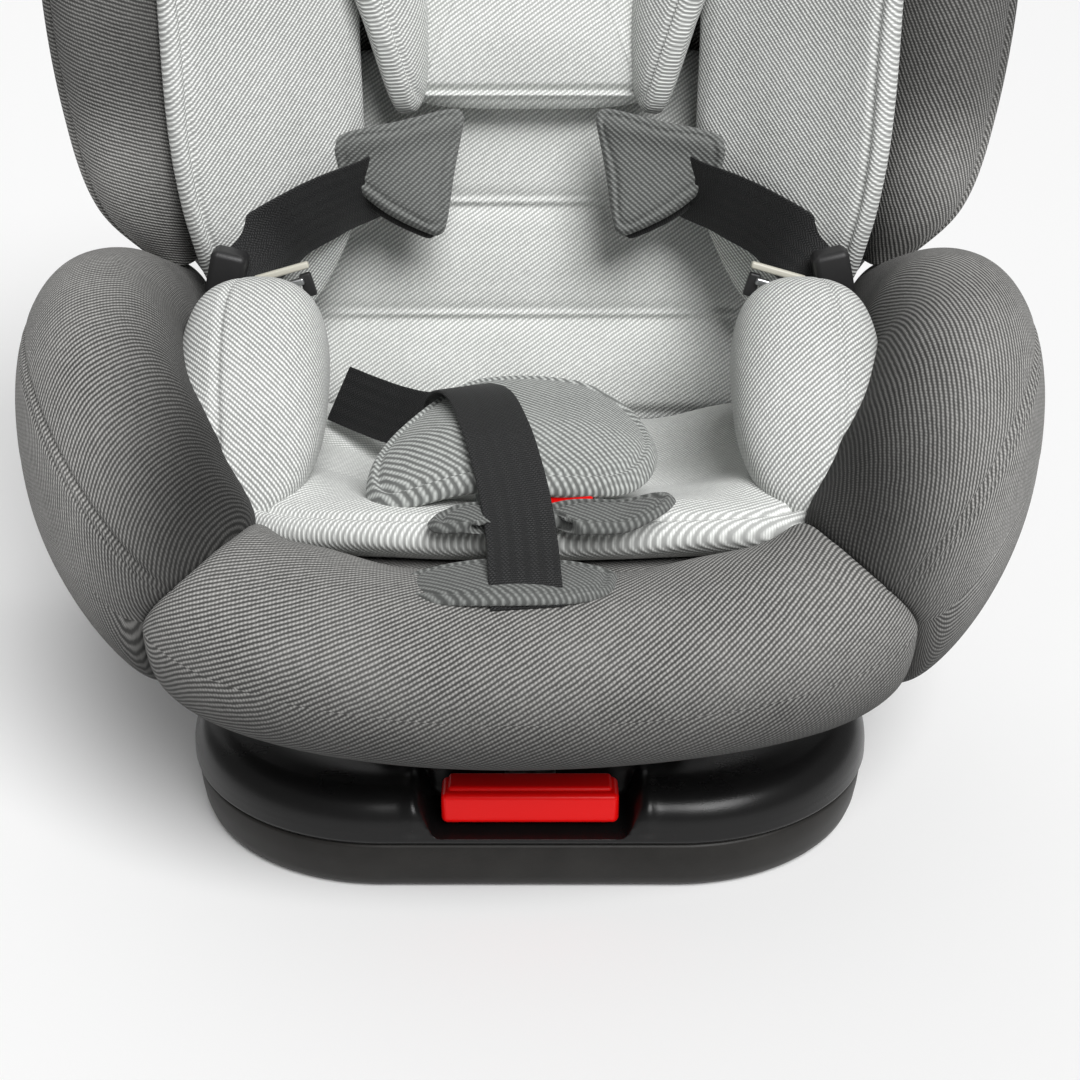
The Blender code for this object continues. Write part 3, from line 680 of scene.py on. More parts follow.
def base_ring(inset, z, angles, front=0.100, rear=0.072):
    """The base's rounded outline, drawn in by the inset, at those angles round the rotation axis."""
    low, high = BASE_LOW + inset, BASE_HIGH - inset
    a = np.linspace(0.0, 2 * math.pi, 1441)
    corner = np.where(np.sin(a) >= 0, rear, front) - inset
    x = np.where(np.cos(a) >= 0, high[0] - corner, low[0] + corner) + corner * np.cos(a)
    y = np.where(np.sin(a) >= 0, high[1] - corner, low[1] + corner) + corner * np.sin(a)
    around = np.unwrap(np.arctan2(y, x))
    far = [np.interp(angles, around, values, period=2 * math.pi) for values in (x, y)]
    return np.stack([*far, np.full_like(angles, z)], axis=-1)


def circle_ring(radius, z, angles):
    """A level circle: radius times the cosine and sine of the angles, at height z."""
    return np.stack([radius * np.cos(angles), radius * np.sin(angles), np.full_like(angles, z)], axis=-1)


def base_angles(count=1000):
    """Angles round the axis, closer together towards the front, where the handle's recess is."""
    even = np.linspace(0.0, 2 * math.pi, count, endpoint=False)
    return even + 0.55 * np.cos(even)


def planar_uv(points):
    """UVs that are the points' own x and y."""
    uv = points[..., :2]
    return np.concatenate([uv, uv[:, :1]], axis=1)


class SEAT_OT_base(bpy.types.Operator):
    """Makes the base's housing, its cover with the well and the handle recess, and the handle"""

    bl_idname = "child_seat.base"
    bl_label = "Base"

    def execute(self, context):
        self.housing()
        self.cover()
        self.handle()
        for node, material in (
            ("turntable_bearing_ring", "steel"), ("turntable_spindle", "steel"), ("isofix_guide_left", "grey"),
            ("isofix_guide_right", "grey"), ("lock_bolt", "steel"),
        ):
            repaint(node, MATERIALS[material])
        return {"FINISHED"}

    def housing(self):
        """The lower tray: rings from the inner floor out over the underside and up to the parting line."""
        angles = base_angles(600)
        profile = [
            (0.060, 0.0), (0.012, 0.0), (0.009, 0.0004), (0.0065, 0.0016), (0.0045, 0.0040),
            (0.0032, 0.0080)
        ]
        profile += [
            (0.0022, 0.0150), (0.0014, PARTING_Z - 0.0016), (0.0022, PARTING_Z - 0.0004),
            (0.0034, PARTING_Z), (0.0060, PARTING_Z)
        ]
        points = np.stack([base_ring(inset, z, angles) for inset, z in profile])
        obj = surface("base_housing", points, planar_uv(points))
        finish_piece(obj, MATERIALS["base_low"], "base", ["base_lower_housing"])

    def cover(self):
        """The upper cover: up the wall, over the soft shoulder and the rim, and down into the round well."""
        angles = base_angles()
        rows = []
        for z in np.linspace(PARTING_Z + 0.0004, 0.034, 12):
            rows.append(
                base_ring(0.0020 * ease((PARTING_Z + 0.003 - z) / 0.003) + 0.0004 * (z - PARTING_Z) / 0.011,
                z, angles)
            )
        for f in np.linspace(0.04, 1.0, 26):
            turn = f * math.pi / 2
            rows.append(
                base_ring(0.0004 + 0.015 * (1 - math.cos(turn)), 0.034 + (RIM_Z - 0.034) * math.sin(turn),
                angles)
            )
        rim = base_ring(0.0200, RIM_Z, angles)
        rows.append(rim)
        lip = circle_ring(0.152, RIM_Z - 0.006, angles)
        for f in np.linspace(0.04, 1.0, 44):
            mixed = rim * (1 - f) + lip * f
            mixed[:, 2] = RIM_Z - 0.006 * ease(f * 1.15)
            rows.append(mixed)
        well = (
            (0.1510, 0.0430), (0.1500, 0.040), (0.1488, 0.036), (0.146, 0.0346), (0.130, 0.0344),
            (0.060, 0.0344), (0.026, 0.0344)
        )
        for radius, z in well:
            rows.append(circle_ring(radius, z, angles))
        points = np.stack(rows)
        x, y, z = points[..., 0], points[..., 1], points[..., 2]
        side = ease((0.0530 - np.abs(x)) / 0.0075)
        back = ease((-0.1610 - y) / 0.004)
        floor = PARTING_Z + 0.0042 + 0.012 * ease((np.abs(x) - 0.0395) / 0.011) ** 2
        inside = side * back
        lowered = z + (floor - z) * inside
        points[..., 2] = np.where(z > floor, lowered, z)
        ridge = (
            0.0011 * bell(np.abs(x) - 0.0535, 0.0030) * ease((z - 0.030) / 0.004)
            * ease((-0.165 - y) / 0.01)
        )
        points[..., 2] += ridge
        points[..., 1] -= ridge
        obj = surface("base_cover", points, planar_uv(points))
        finish_piece(obj, MATERIALS["base"], "base", ["base_upper_cover"])

    def handle(self):
        """A red bar with a flat front and rounded edges, and a narrower block set back on its top that makes a step."""
        low, high = (np.array(corner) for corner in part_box("release_handle"))
        obj = rounded_block("pull_handle", low, high, 0.0030, fine=16)
        finish_piece(obj, MATERIALS["red"], "handle", ["release_handle"])
        low, high = low + [0.003, 0.0042, 0.008], high - [0.003, 0.0002, -0.0016]
        top = rounded_block("pull_handle_step", low, high, 0.0020, fine=12)
        finish_piece(top, MATERIALS["red"], "handle")


def repaint(node, material):
    """Gives a node of the frame a finer material."""
    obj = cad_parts[node]
    obj.data.materials.clear()
    obj.data.materials.append(material)


class SEAT_OT_turntable(bpy.types.Operator):
    """Makes the turntable's disc, and finishes the recline rails"""

    bl_idname = "child_seat.turntable"
    bl_label = "Turntable"

    def execute(self, context):
        angles = np.linspace(0.0, 2 * math.pi, 240, endpoint=False)
        low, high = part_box("turntable_disc")
        profile = [
            (0.0145, low.z), (0.120, low.z), (0.1345, low.z + 0.0004), (0.135, low.z + 0.001),
            (0.135, high.z - 0.006)
        ]
        profile += [
            (0.1335, high.z - 0.0035), (0.130, high.z - 0.0012), (0.126, high.z - 0.0002), (0.112, high.z)
        ]
        profile += [(0.110, high.z - 0.0014), (0.104, high.z - 0.0014), (0.102, high.z), (0.0145, high.z)]
        points = np.stack([circle_ring(r, z, angles) for r, z in profile])
        obj = surface("turntable_plate", points, planar_uv(points))
        finish_piece(obj, MATERIALS["shell"], "turntable", ["turntable_disc"])
        for side, _ in SIDES:
            repaint(f"recline_rail_{side}", MATERIALS["shell"])
        return {"FINISHED"}


class SEAT_OT_isofix(bpy.types.Operator):
    """Finishes the arms and their crossbar, and makes the release buttons"""

    bl_idname = "child_seat.isofix"
    bl_label = "ISOFIX arms"

    def execute(self, context):
        repaint("isofix_crossbar", MATERIALS["steel"])
        for side, _ in SIDES:
            repaint(f"isofix_arm_{side}", MATERIALS["steel"])
            repaint(f"isofix_jaw_{side}", MATERIALS["steel"])
            repaint(f"isofix_connector_{side}", MATERIALS["shell"])
            low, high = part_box(f"isofix_release_{side}")
            obj = rounded_block(f"release_button_{side}", low, high, 0.0018)
            finish_piece(obj, MATERIALS["red"], f"release_{side}", [f"isofix_release_{side}"])
        return {"FINISHED"}


# ---------------------------------------------------------------- shells


def panel_y(z):
    """Where the backrest's front surface stands at a height."""
    return 0.060 + math.tan(LEAN) * (z - 0.140)


def moulded_tray(name, rows, wall):
    """A shell from rows of points, open at its edges, thickened outwards."""
    points = np.stack(rows)
    uv = points[..., [0, 2]]
    obj = surface(name, points, uv, wrap=False, poles=False)
    solid = obj.modifiers.new("wall", "SOLIDIFY")
    solid.thickness = wall
    solid.offset = 1.0
    round_edges = obj.modifiers.new("edges", "BEVEL")
    round_edges.width = 0.0011
    round_edges.segments = 2
    round_edges.angle_limit = math.radians(50)
    return obj


class SEAT_OT_shells(bpy.types.Operator):
    """Makes the plastic shells of the seat, the backrest, its rear cover and the headrest"""

    bl_idname = "child_seat.shells"
    bl_label = "Shells"

    def execute(self, context):
        across = np.linspace(-1.0, 1.0, 121)
        y = np.concatenate([[-0.170, -0.169, -0.1665], np.linspace(-0.163, 0.128, 54), [0.132, 0.1355, 0.137]])
        stations = [
            -0.170, -0.169, -0.1665, -0.160, -0.140, -0.105, -0.05, 0.05, 0.110, 0.128, 0.132, 0.1355, 0.137
        ]
        widths = [0.080, 0.090, 0.099, 0.110, 0.128, 0.148, 0.156, 0.156, 0.148, 0.139, 0.132, 0.118, 0.105]
        half = np.interp(y, stations, widths)
        rise = np.interp(
            y, [-0.170, -0.05, 0.0, 0.06, 0.105, 0.137], [0.010, 0.014, 0.020, 0.020, 0.008, 0.001]
        )
        floor = 0.450 - np.sqrt(0.350**2 - y**2) + 0.0034
        floor = np.where(y < -0.150, 0.134, floor)
        points = [
            np.stack([h * across, np.full(121, v), f + r * np.abs(across) ** 4], 1) for v, h, r,
            f in zip(y, half, rise, floor)
        ]
        tray = moulded_tray("seat_tub", points, 0.003)
        finish_piece(tray, MATERIALS["shell"], "seat", ["seat_shell"])

        self.upright("backrest_tub", "seat", ["backrest_shell"],
        (0.172, 0.174, 0.180, 0.23, 0.33, 0.43, 0.51, 0.545, 0.558, 0.562),
                     (0.120, 0.138, 0.154, 0.192, 0.203, 0.203, 0.185, 0.160, 0.138, 0.112), 0.0405, 0.036, 8.0)
        self.upright("back_cover_panel", "seat", ["rear_cover"],
        (0.185, 0.187, 0.193, 0.26, 0.40, 0.52, 0.55, 0.558, 0.561),
                     (0.072, 0.088, 0.102, 0.118, 0.118, 0.105, 0.092, 0.080, 0.062), 0.072, 0.024, 4.0)
        self.upright("headrest_tub", "headrest", ["headrest_shell"],
        (0.322, 0.324, 0.332, 0.40, 0.52, 0.592, 0.600, 0.603),
                     (0.062, 0.074, 0.086, 0.100, 0.108, 0.096, 0.084, 0.066), 0.010, 0.010, 4.0)
        return {"FINISHED"}

    def upright(self, name, body, nodes, heights, halves, behind, rise, power):
        """A shell that stands behind the padding: each level is flat in the middle and curls forward at its sides."""
        across = np.linspace(1.0, -1.0, 101)
        ends = np.array([0.0, 0.0006, 0.0016, 0.003, 0.005, 0.0075, 0.011])
        z = np.concatenate(
            [heights[0] + ends, np.linspace(heights[0] + 0.016, heights[-1] - 0.016, 56),
            heights[-1] - ends[::-1]]
        )
        half = np.interp(z, heights, halves)
        back = np.array([panel_y(v) for v in z]) + behind
        rows = [
            np.stack([h * across, b - rise * np.abs(across) ** power, np.full(101, v)], 1) for v, h,
            b in zip(z, half, back)
        ]
        obj = moulded_tray(name, rows, 0.003)
        finish_piece(obj, MATERIALS["shell"], body, nodes)


# ---------------------------------------------------------------- seat cover

# Centre of each section of the padded rim, its half thickness, half height and heading, from the middle round.
RIM = [(0.000, -0.218, 0.128, 0.044, 0.037, 0), (0.050, -0.215, 0.129, 0.044, 0.037, 10)]
RIM += [(0.095, -0.205, 0.133, 0.044, 0.039, 22), (0.131, -0.191, 0.141, 0.039, 0.044, 38)]
RIM += [(0.163, -0.158, 0.159, 0.040, 0.055, 56), (0.191, -0.113, 0.182, 0.041, 0.068, 76)]
RIM += [(0.202, -0.068, 0.192, 0.042, 0.070, 88), (0.201, -0.030, 0.195, 0.039, 0.065, 94)]
RIM += [(0.192, 0.010, 0.190, 0.029, 0.054, 94), (0.187, 0.056, 0.185, 0.024, 0.044, 94)]


RIM_LENGTH = 0.81


def rim_points(place, t):
    """Points of the padded rim at places 0 to 1 round the horseshoe and angles t round the section.

    A section is an oval with flattened sides: half thickness times cos(t) to 0.87 sideways from the path, half
    height times sin(t) to 0.87 upwards. The outer upper edge is drawn in along a stitched line.
    """
    right = np.array(RIM)
    left = right[:0:-1] * np.array([-1, 1, 1, 1, 1, -1])
    line = through(np.vstack([left, right]), 600)
    at = np.linspace(0.0, 1.0, 600)
    x, y, z, thick, high, heading = (np.interp(place, at, line[:, k]) for k in range(6))
    heading = np.radians(heading)
    a = np.sign(np.cos(t)) * np.abs(np.cos(t)) ** 0.87
    b = np.sign(np.sin(t)) * np.abs(np.sin(t)) ** 0.87
    depth = sizes().seam
    groove = -depth * bell(t - 0.62, 0.030) - 0.45 * depth * bell(t - 0.52, 0.016)
    groove = groove * ease((np.abs(x) - 0.120) / 0.03)
    fold = 0.0006 * np.sin(place * 90.0 + 2.0 * np.sin(2.0 * t)) * bell(t - 2.3, 0.6)
    sag = 0.0006 * np.sin(place * 21.0 + t) * bell(t - 5.4, 0.9)
    across = a * (thick + groove + fold + sag)
    return np.stack(
        [x + across * np.sin(heading), y - across * np.cos(heading), z + b * (high + groove + fold + sag)],
        -1
    )


class SEAT_OT_cover(bpy.types.Operator):
    """Makes the dark cover: the front lip, the two arms, the backrest's wings and its middle"""

    bl_idname = "child_seat.cover"
    bl_label = "Seat cover"

    def execute(self, context):
        self.rim()
        self.wings()
        self.middle()
        return {"FINISHED"}

    def rim(self):
        """Three panels that meet in two slanting seams, each drawn in along its seam."""
        around = 240
        t = np.linspace(0.0, 2 * math.pi, around, endpoint=False)
        slant = 0.010 * np.cos(t) + 0.034 * np.clip(np.sin(t), 0.0, 1.0)
        seams = {"low": 0.310 + slant, "high": 0.690 - slant}
        panels = (
            ("left", 0.0 * t, seams["low"], 260), ("lip", seams["low"], seams["high"], 320),
            ("right", seams["high"], 0.0 * t + 1.0, 260)
        )
        for label, start, end, rows in panels:
            k = np.linspace(0.0, 1.0, rows)[:, None]
            place = start[None, :] + (end - start)[None, :] * k
            points = rim_points(place, np.repeat(t[None, :], rows, axis=0))
            middle = points.mean(axis=1, keepdims=True)
            length = np.linalg.norm(np.diff(middle[:, 0], axis=0), axis=1).sum()
            far = np.minimum(k, 1.0 - k) * length
            if label == "left":
                far = (1.0 - k) * length
            if label == "right":
                far = k * length
            tuck = 0.0045 * np.exp(-far / 0.0035) + 0.0022 * np.exp(-far / 0.014)
            out = unit(points - middle)
            points = points - out * tuck[..., None]
            if label != "lip":
                from_back = (k if label == "left" else 1.0 - k) * length
                rounded = np.sqrt(1.0 - (1.0 - np.clip(from_back / 0.026, 0.0, 1.0)) ** 2)
                points = middle + (points - middle) * (0.15 + 0.85 * rounded)[..., None]
            points = swollen(points, RIM_SWELL, rows=40, cols=60)
            girth = np.linalg.norm(np.diff(points, axis=1, append=points[:, :1]), axis=2)
            v = np.concatenate([np.zeros((rows, 1)), np.cumsum(girth, axis=1)], axis=1)
            along = np.concatenate([place, place[:, :1]], axis=1) * RIM_LENGTH
            uv = np.stack([along, v - v[:, around // 4][:, None]], axis=-1)
            name, node = (
                ("front_lip_cover", "front_lip") if label == "lip"
                else (f"arm_cover_{label}", f"arm_pad_{label}")
            )
            obj = surface(name, points, uv)
            finish_piece(obj, MATERIALS[f"cover_{label}"], "seat", [node])

    def wings(self):
        """The backrest's dark wings: upright bolsters, thickest in the middle and drawn in at both tips."""
        line = [
            (0.182, 0.030, 0.238, 0.010, 0.020), (0.194, 0.048, 0.268, 0.029, 0.052),
            (0.200, 0.064, 0.315, 0.037, 0.071)
        ]
        line += [
            (0.204, 0.076, 0.375, 0.039, 0.079), (0.203, 0.090, 0.430, 0.038, 0.079),
            (0.192, 0.106, 0.490, 0.034, 0.074)
        ]
        line += [(0.172, 0.122, 0.540, 0.029, 0.062), (0.146, 0.138, 0.570, 0.014, 0.034)]
        line = through(line, 240)
        count = len(line)
        side = np.tile([1.0, 0.0, 0.0], (count, 1))
        up = np.tile([0.0, -1.0, 0.0], (count, 1))

        def relief(walked, t):
            """A seam drawn in at t = 0.80, and a low ridge beside it at t = 0.69."""
            return -1.3 * sizes().seam * bell(t - 0.80, 0.035) + 0.0014 * bell(t - 0.69, 0.05)

        for label, sign in SIDES:
            flip = np.array([sign, 1.0, 1.0])
            obj = tube_of_sections(
                f"wing_cover_{label}", line[:, :3] * flip, side * flip, up, line[:, 3], line[:, 4],
                relief=relief, around=200, ends=0.0, puffed=BACK_WING_SWELL,
            )
            finish_piece(
                obj, MATERIALS[f"cover_{label}"], "seat", [f"back_wing_{label}"]
            )

    def middle(self):
        """The flat cover behind the insert, with softly rounded corners."""
        outline = [(-0.150, 0.02), (-0.165, 0.15), (-0.160, 0.30), (-0.120, 0.405), (0.0, 0.420)]
        outline += [(0.120, 0.405), (0.160, 0.30), (0.165, 0.15), (0.150, 0.02), (0.0, 0.005)]
        obj = cushion(
            "back_cover", outline, (0, panel_y(0.15) + 0.029, 0.150), (1, 0, 0), UP_BACK, 0.008, edge=8.0
        )
        finish_piece(obj, MATERIALS["cover_lip"], "seat", ["back_pad"])


# ---------------------------------------------------------------- insert


class SEAT_OT_insert(bpy.types.Operator):
    """Makes the light padding: the seat pad, its two lobes, the quilted back panel and its wings"""

    bl_idname = "child_seat.insert"
    bl_label = "Insert"

    def execute(self, context):
        self.seat_pad()
        self.back_panel()
        self.lobes()
        self.wings()
        return {"FINISHED"}

    def seat_pad(self):
        """The pad slopes down to the back and dips in the middle; a stitched border runs round its front."""
        outline = [
            (0.0, -0.113), (0.060, -0.109), (0.106, -0.096), (0.134, -0.074), (0.146, -0.030),
            (0.147, 0.030)
        ]
        outline += [(0.142, 0.090), (0.108, 0.122), (0.0, 0.128)]
        outline += [(-x, y) for x, y in outline[-2:0:-1]]
        seam = sizes().seam

        def bend(u, v):
            rise = np.interp(
                v, [-0.120, -0.105, -0.080, -0.050, -0.010, 0.040, 0.130],
                [0.041, 0.040, 0.034, 0.022, 0.009, 0.001, 0.002]
            )
            sides = 0.014 * ease((np.abs(u) - 0.065) / 0.06) * ease((v + 0.09) / 0.05)
            return rise + sides - 0.004 * bell(u, 0.05) * ease((v + 0.10) / 0.04)

        def relief(u, v, inset):
            front = ease((0.00 - v) / 0.03)
            return front * (0.0016 * bell(inset - 0.0035, 0.003) - 1.4 * seam * bell(inset - 0.0095, 0.0018))

        obj = cushion(
            "insert_seat_cushion", outline, (0, -0.072, 0.131), (1, 0, 0), (0, 1, 0), 0.0145, bend, relief,
            edge=6.0, rows=130, cols=360, puffed=SEAT_SWELL,
        )
        finish_piece(obj, MATERIALS["insert"], "seat", ["insert_seat"])

        def lower(points):
            points[..., 2] -= 0.021
            return points

        wider = [(x * 1.05, y - 0.006) for x, y in outline]
        obj = cushion(
            "seat_cover_middle", wider, (0, -0.072, 0.131), (1, 0, 0), (0, 1, 0), 0.0085, bend, None,
            edge=6.0, rows=60, cols=240, shape=lower,
        )
        finish_piece(obj, MATERIALS["cover_lip"], "seat")

    def back_panel(self):
        """Three quilted channels with a piped seam between them."""
        outline = [(-0.120, 0.0), (-0.122, 0.06), (-0.112, 0.13), (-0.104, 0.190), (0.0, 0.196), (0.104, 0.190)]
        outline += [(0.112, 0.13), (0.122, 0.06), (0.120, 0.0), (0.0, -0.010)]
        joints = (0.0505, 0.112)
        puff = sizes().puff

        def relief(u, v, inset):
            out = (
                -0.6 * puff * bell(v + 0.004, 0.004) + 0.0006 * np.sin(u * 90.0 + v * 30.0)
                * bell(v - 0.02, 0.02)
            )
            for joint in joints:
                out = out - puff * bell(v - joint, 0.0065) + 0.75 * puff * bell(v - joint - 0.0015, 0.0015)
            for middle in (0.024, 0.081, 0.145):
                out = out + 0.5 * puff * bell(v - middle, 0.016)
            return out

        obj = cushion(
            "insert_back_panel", outline, (0, 0.070, 0.140), (1, 0, 0), UP_BACK, 0.011, None, relief,
            edge=7.0, rows=260, cols=420,
        )
        finish_piece(obj, MATERIALS["insert"], "seat", ["insert_back"])

    def lobes(self):
        """Two ears that rise from the front corners of the seat pad, with a seam down their front."""
        line = [
            (0.1295, -0.152, 0.165, 0.007, 0.006), (0.1290, -0.137, 0.176, 0.024, 0.013),
            (0.1290, -0.114, 0.190, 0.0325, 0.021)
        ]
        line += [
            (0.1300, -0.088, 0.206, 0.0350, 0.028), (0.1305, -0.064, 0.220, 0.0340, 0.033),
            (0.1305, -0.046, 0.228, 0.0290, 0.032)
        ]
        line += [(0.1305, -0.030, 0.231, 0.0180, 0.022), (0.1305, -0.022, 0.231, 0.0060, 0.010)]
        line = through(line, 200)
        side = np.tile([1.0, 0.0, 0.0], (len(line), 1))
        up = np.tile([0.0, -0.62, 0.78], (len(line), 1))

        def relief(walked, t):
            return -sizes().seam * bell(t - 1.28, 0.05)

        for label, sign in SIDES:
            flip = np.array([sign, 1.0, 1.0])
            obj = tube_of_sections(
                f"insert_lobe_cushion_{label}", line[:, :3] * flip, side * flip, up, line[:, 3], line[:, 4],
                power=2.5, relief=relief, around=220, ends=0.0, puffed=LOBE_SWELL,
            )
            finish_piece(
                obj, MATERIALS["insert_side"], "seat", [f"insert_lobe_{label}"]
            )

    def wings(self):
        """Side wings of the back: slanting slabs with a seam inside the outer edge and a drawn-in foot."""
        outline = [
            (0.010, -0.140), (0.038, -0.108), (0.054, -0.060), (0.061, 0.000), (0.062, 0.080),
            (0.046, 0.122), (0.0, 0.132)
        ]
        outline += [
            (-0.044, 0.122), (-0.058, 0.080), (-0.058, 0.0), (-0.058, -0.080), (-0.040, -0.132),
            (-0.014, -0.148)
        ]
        seam = sizes().seam

        def relief(u, v, inset):
            edge = 0.0014 * bell(inset - 0.003, 0.003) - seam * bell(inset - 0.0080, 0.0017)
            return edge * ease((u + 0.005) / 0.02) + 0.005 * bell(u, 0.035) * ease((0.13 - np.abs(v)) / 0.05)

        def bend(u, v):
            return 0.010 * (u / 0.06) ** 2 - 0.006 * ease((-0.09 - v) / 0.05)

        for label, sign in SIDES:
            obj = cushion(
                f"insert_wing_cushion_{label}", outline, (0.139, 0.048, 0.346), (0.74, -0.67, 0.0), UP_BACK, 0.013,
                bend, relief, edge=3.8, rows=130, cols=260, side=sign, puffed=INSERT_WING_SWELL,
            )
            finish_piece(
                obj, MATERIALS["insert_side"], "seat", [f"insert_wing_{label}"]
            )


# ---------------------------------------------------------------- headrest


class SEAT_OT_headrest(bpy.types.Operator):
    """Makes the headrest's cushion with its piped lower edge, its two wings and the lever"""

    bl_idname = "child_seat.headrest"
    bl_label = "Headrest"

    def execute(self, context):
        outline = [(-0.056, 0.003), (-0.060, 0.02), (-0.062, 0.20), (-0.054, 0.295), (0.0, 0.318)]
        outline += [(0.054, 0.295), (0.062, 0.20), (0.060, 0.02), (0.056, 0.003), (0.0, 0.0)]

        def relief(u, v, inset):
            """A piping ridge at the foot, with a groove above it."""
            piping = 0.0022 * bell(v - 0.0065, 0.0013) - 0.0030 * bell(v - 0.0095, 0.0015)
            return piping + 0.003 * bell(u, 0.05) * ease((v - 0.01) / 0.03)

        start = np.array([0, panel_y(0.304) - 0.018, 0.304])
        obj = cushion(
            "headrest_cushion", outline, start, (1, 0, 0), UP_BACK, 0.014, None, relief,
            edge=9.0, rows=220, cols=360,
        )
        finish_piece(obj, MATERIALS["insert"], "headrest", ["headrest_pad"])

        outline = [
            (-0.036, 0.030), (-0.012, 0.001), (0.006, 0.004), (0.026, 0.050), (0.040, 0.110), (0.042, 0.180)
        ]
        outline += [(0.034, 0.240), (0.012, 0.285), (-0.024, 0.290), (-0.038, 0.220), (-0.040, 0.120)]

        def seam_line(u, v, inset):
            return (
                -sizes().seam * bell(inset - 0.0085, 0.0017) * ease((u + 0.01) / 0.02) + 0.004
                * bell(u, 0.03)
            )

        def lean_out(points):
            """Bends the wing outwards in step with its height above z = 0.306."""
            higher = points[..., 2] - 0.306
            points[..., 0] += 0.026 * ease(higher / 0.16) - 0.018 * ease((higher - 0.17) / 0.12)
            return points

        for label, sign in SIDES:
            obj = cushion(
                f"headrest_wing_cushion_{label}", outline, (0.0665, panel_y(0.306) - 0.034, 0.306), (0.34, -0.94, 0.0), UP_BACK,
                0.0145, None, seam_line, edge=3.0, rows=110, cols=240, side=sign, shape=lean_out, puffed=HEADREST_SWELL,
            )
            finish_piece(
                obj, MATERIALS["insert_side"], "headrest", [f"headrest_wing_{label}"],
            )
        repaint("headrest_frame", MATERIALS["steel"])
        low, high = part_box("headrest_lever")
        lever = rounded_block("height_lever", low, high, 0.003)
        finish_piece(lever, MATERIALS["red"], "headrest_lever", ["headrest_lever"])
        return {"FINISHED"}


# ---------------------------------------------------------------- harness


class SEAT_OT_harness(bpy.types.Operator):
    """Makes the shoulder straps, their padded sleeves and the tongues"""

    bl_idname = "child_seat.harness"
    bl_label = "Harness"

    def execute(self, context):
        self.sleeves()
        self.straps()
        self.tongues()
        return {"FINISHED"}

    def sleeves(self):
        """A sleeve is a soft fold of twill with square corners; its open lower end flares over a dark lining."""
        outline = [
            (-0.035, 0.004), (-0.034, 0.013), (-0.028, 0.019), (0.000, 0.024), (0.028, 0.030),
            (0.035, 0.028)
        ]
        outline += [
            (0.034, 0.019), (0.027, -0.004), (0.020, -0.029), (0.016, -0.035), (0.009, -0.034),
            (-0.012, -0.022)
        ]
        outline += [(-0.031, -0.004)]

        def bend(u, v):
            along_top = v - 0.017 + 0.16 * u
            return (
                0.003 * bell(along_top, 0.006) + 0.004 * bell(u - v * 0.6, 0.022) - 0.006
                * ease((-u - 0.016) / 0.03)
            )

        def relief(u, v, inset):
            return 0.0010 * bell(inset - 0.0025, 0.002) - 0.0012 * bell(inset - 0.0055, 0.0014)

        for label, sign in SIDES:
            for name, away, grow, material, nodes in (
                ("sleeve", 0.0, 1.0, "sleeve", [f"shoulder_pad_{label}"]), ("lining", 0.007, 0.93, "lining", []),
            ):
                ring = [((away and 0.0035) - u * grow, v * grow - (away and 0.0055)) for u, v in outline]
                obj = cushion(
                    f"shoulder_{name}_{label}", ring, (0.067, 0.051 + away, 0.279), (0.97, -0.16, 0.0), (0.10, 0.30, 0.95),
                    0.0050 if away == 0.0 else 0.0035, bend, relief, edge=6.0, rows=60, cols=220, side=sign,
                )
                finish_piece(obj, MATERIALS[material], "seat", nodes)

    def straps(self):
        """The webbing leaves the sleeve's open end, lies flat towards the side and ends in the tongue's slot."""
        route = [
            (0.052, 0.066, 0.283), (0.068, 0.060, 0.276), (0.0825, 0.047, 0.270), (0.100, 0.029, 0.266),
            (0.118, 0.014, 0.260)
        ]
        route += [(0.134, 0.002, 0.251), (0.149, -0.009, 0.2425), (0.153, -0.012, 0.2395)]
        across = [(0.50, -0.37, -0.78)] * 5 + [(0.50, -0.50, -0.66), (0.45, -0.62, -0.60), (0.45, -0.66, -0.58)]
        for label, sign in SIDES:
            flip = np.array([sign, 1.0, 1.0])
            obj, _ = webbing(
                f"shoulder_webbing_{label}", np.array(route) * flip, np.array(across) * flip,
                sizes().harness, 0.0015
            )
            finish_piece(obj, MATERIALS["webbing"], "seat", [f"shoulder_strap_{label}"])

    def tongues(self):
        """A black grip with round edges, and two slim prongs, cream and steel, that reach towards the buckle, with a
        small black block beside them.
        """
        for label, sign in SIDES:
            body = f"tongue_{label}"
            low, high = (np.array(corner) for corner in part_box(body))
            low[2] += 0.002
            grip = rounded_block(f"tongue_grip_{label}", low, high, 0.0035, turn=turned_by("Y", -14 * sign))
            finish_piece(grip, MATERIALS["shell"], body, [body])
            middle = np.array([sign * 0.1225, -0.0185, 0.2395])
            turn = turned_by("Y", 16 * sign)
            for index, (shift, length, part, material, nodes) in enumerate((
                ((0.0, 0.0, 0.0040), 0.0285, 0.0034, "cream", [f"tongue_plate_{label}"]),
                ((0.002, -0.001, -0.0030), 0.0235, 0.0036, "steel", []),
                ((-0.0105, 0.001, -0.0060), 0.0060, 0.0120, "shell", []),
            )):
                half = np.array([length / 2, 0.0019, part / 2])
                place = middle + np.array(shift) * np.array([sign, 1, 1])
                obj = rounded_block(
                    f"tongue_prong_{index}_{label}", place - half, place + half, 0.0011, turn, middle,
                    fine=8
                )
                finish_piece(
                    obj, MATERIALS[material], body,
                    nodes
                )


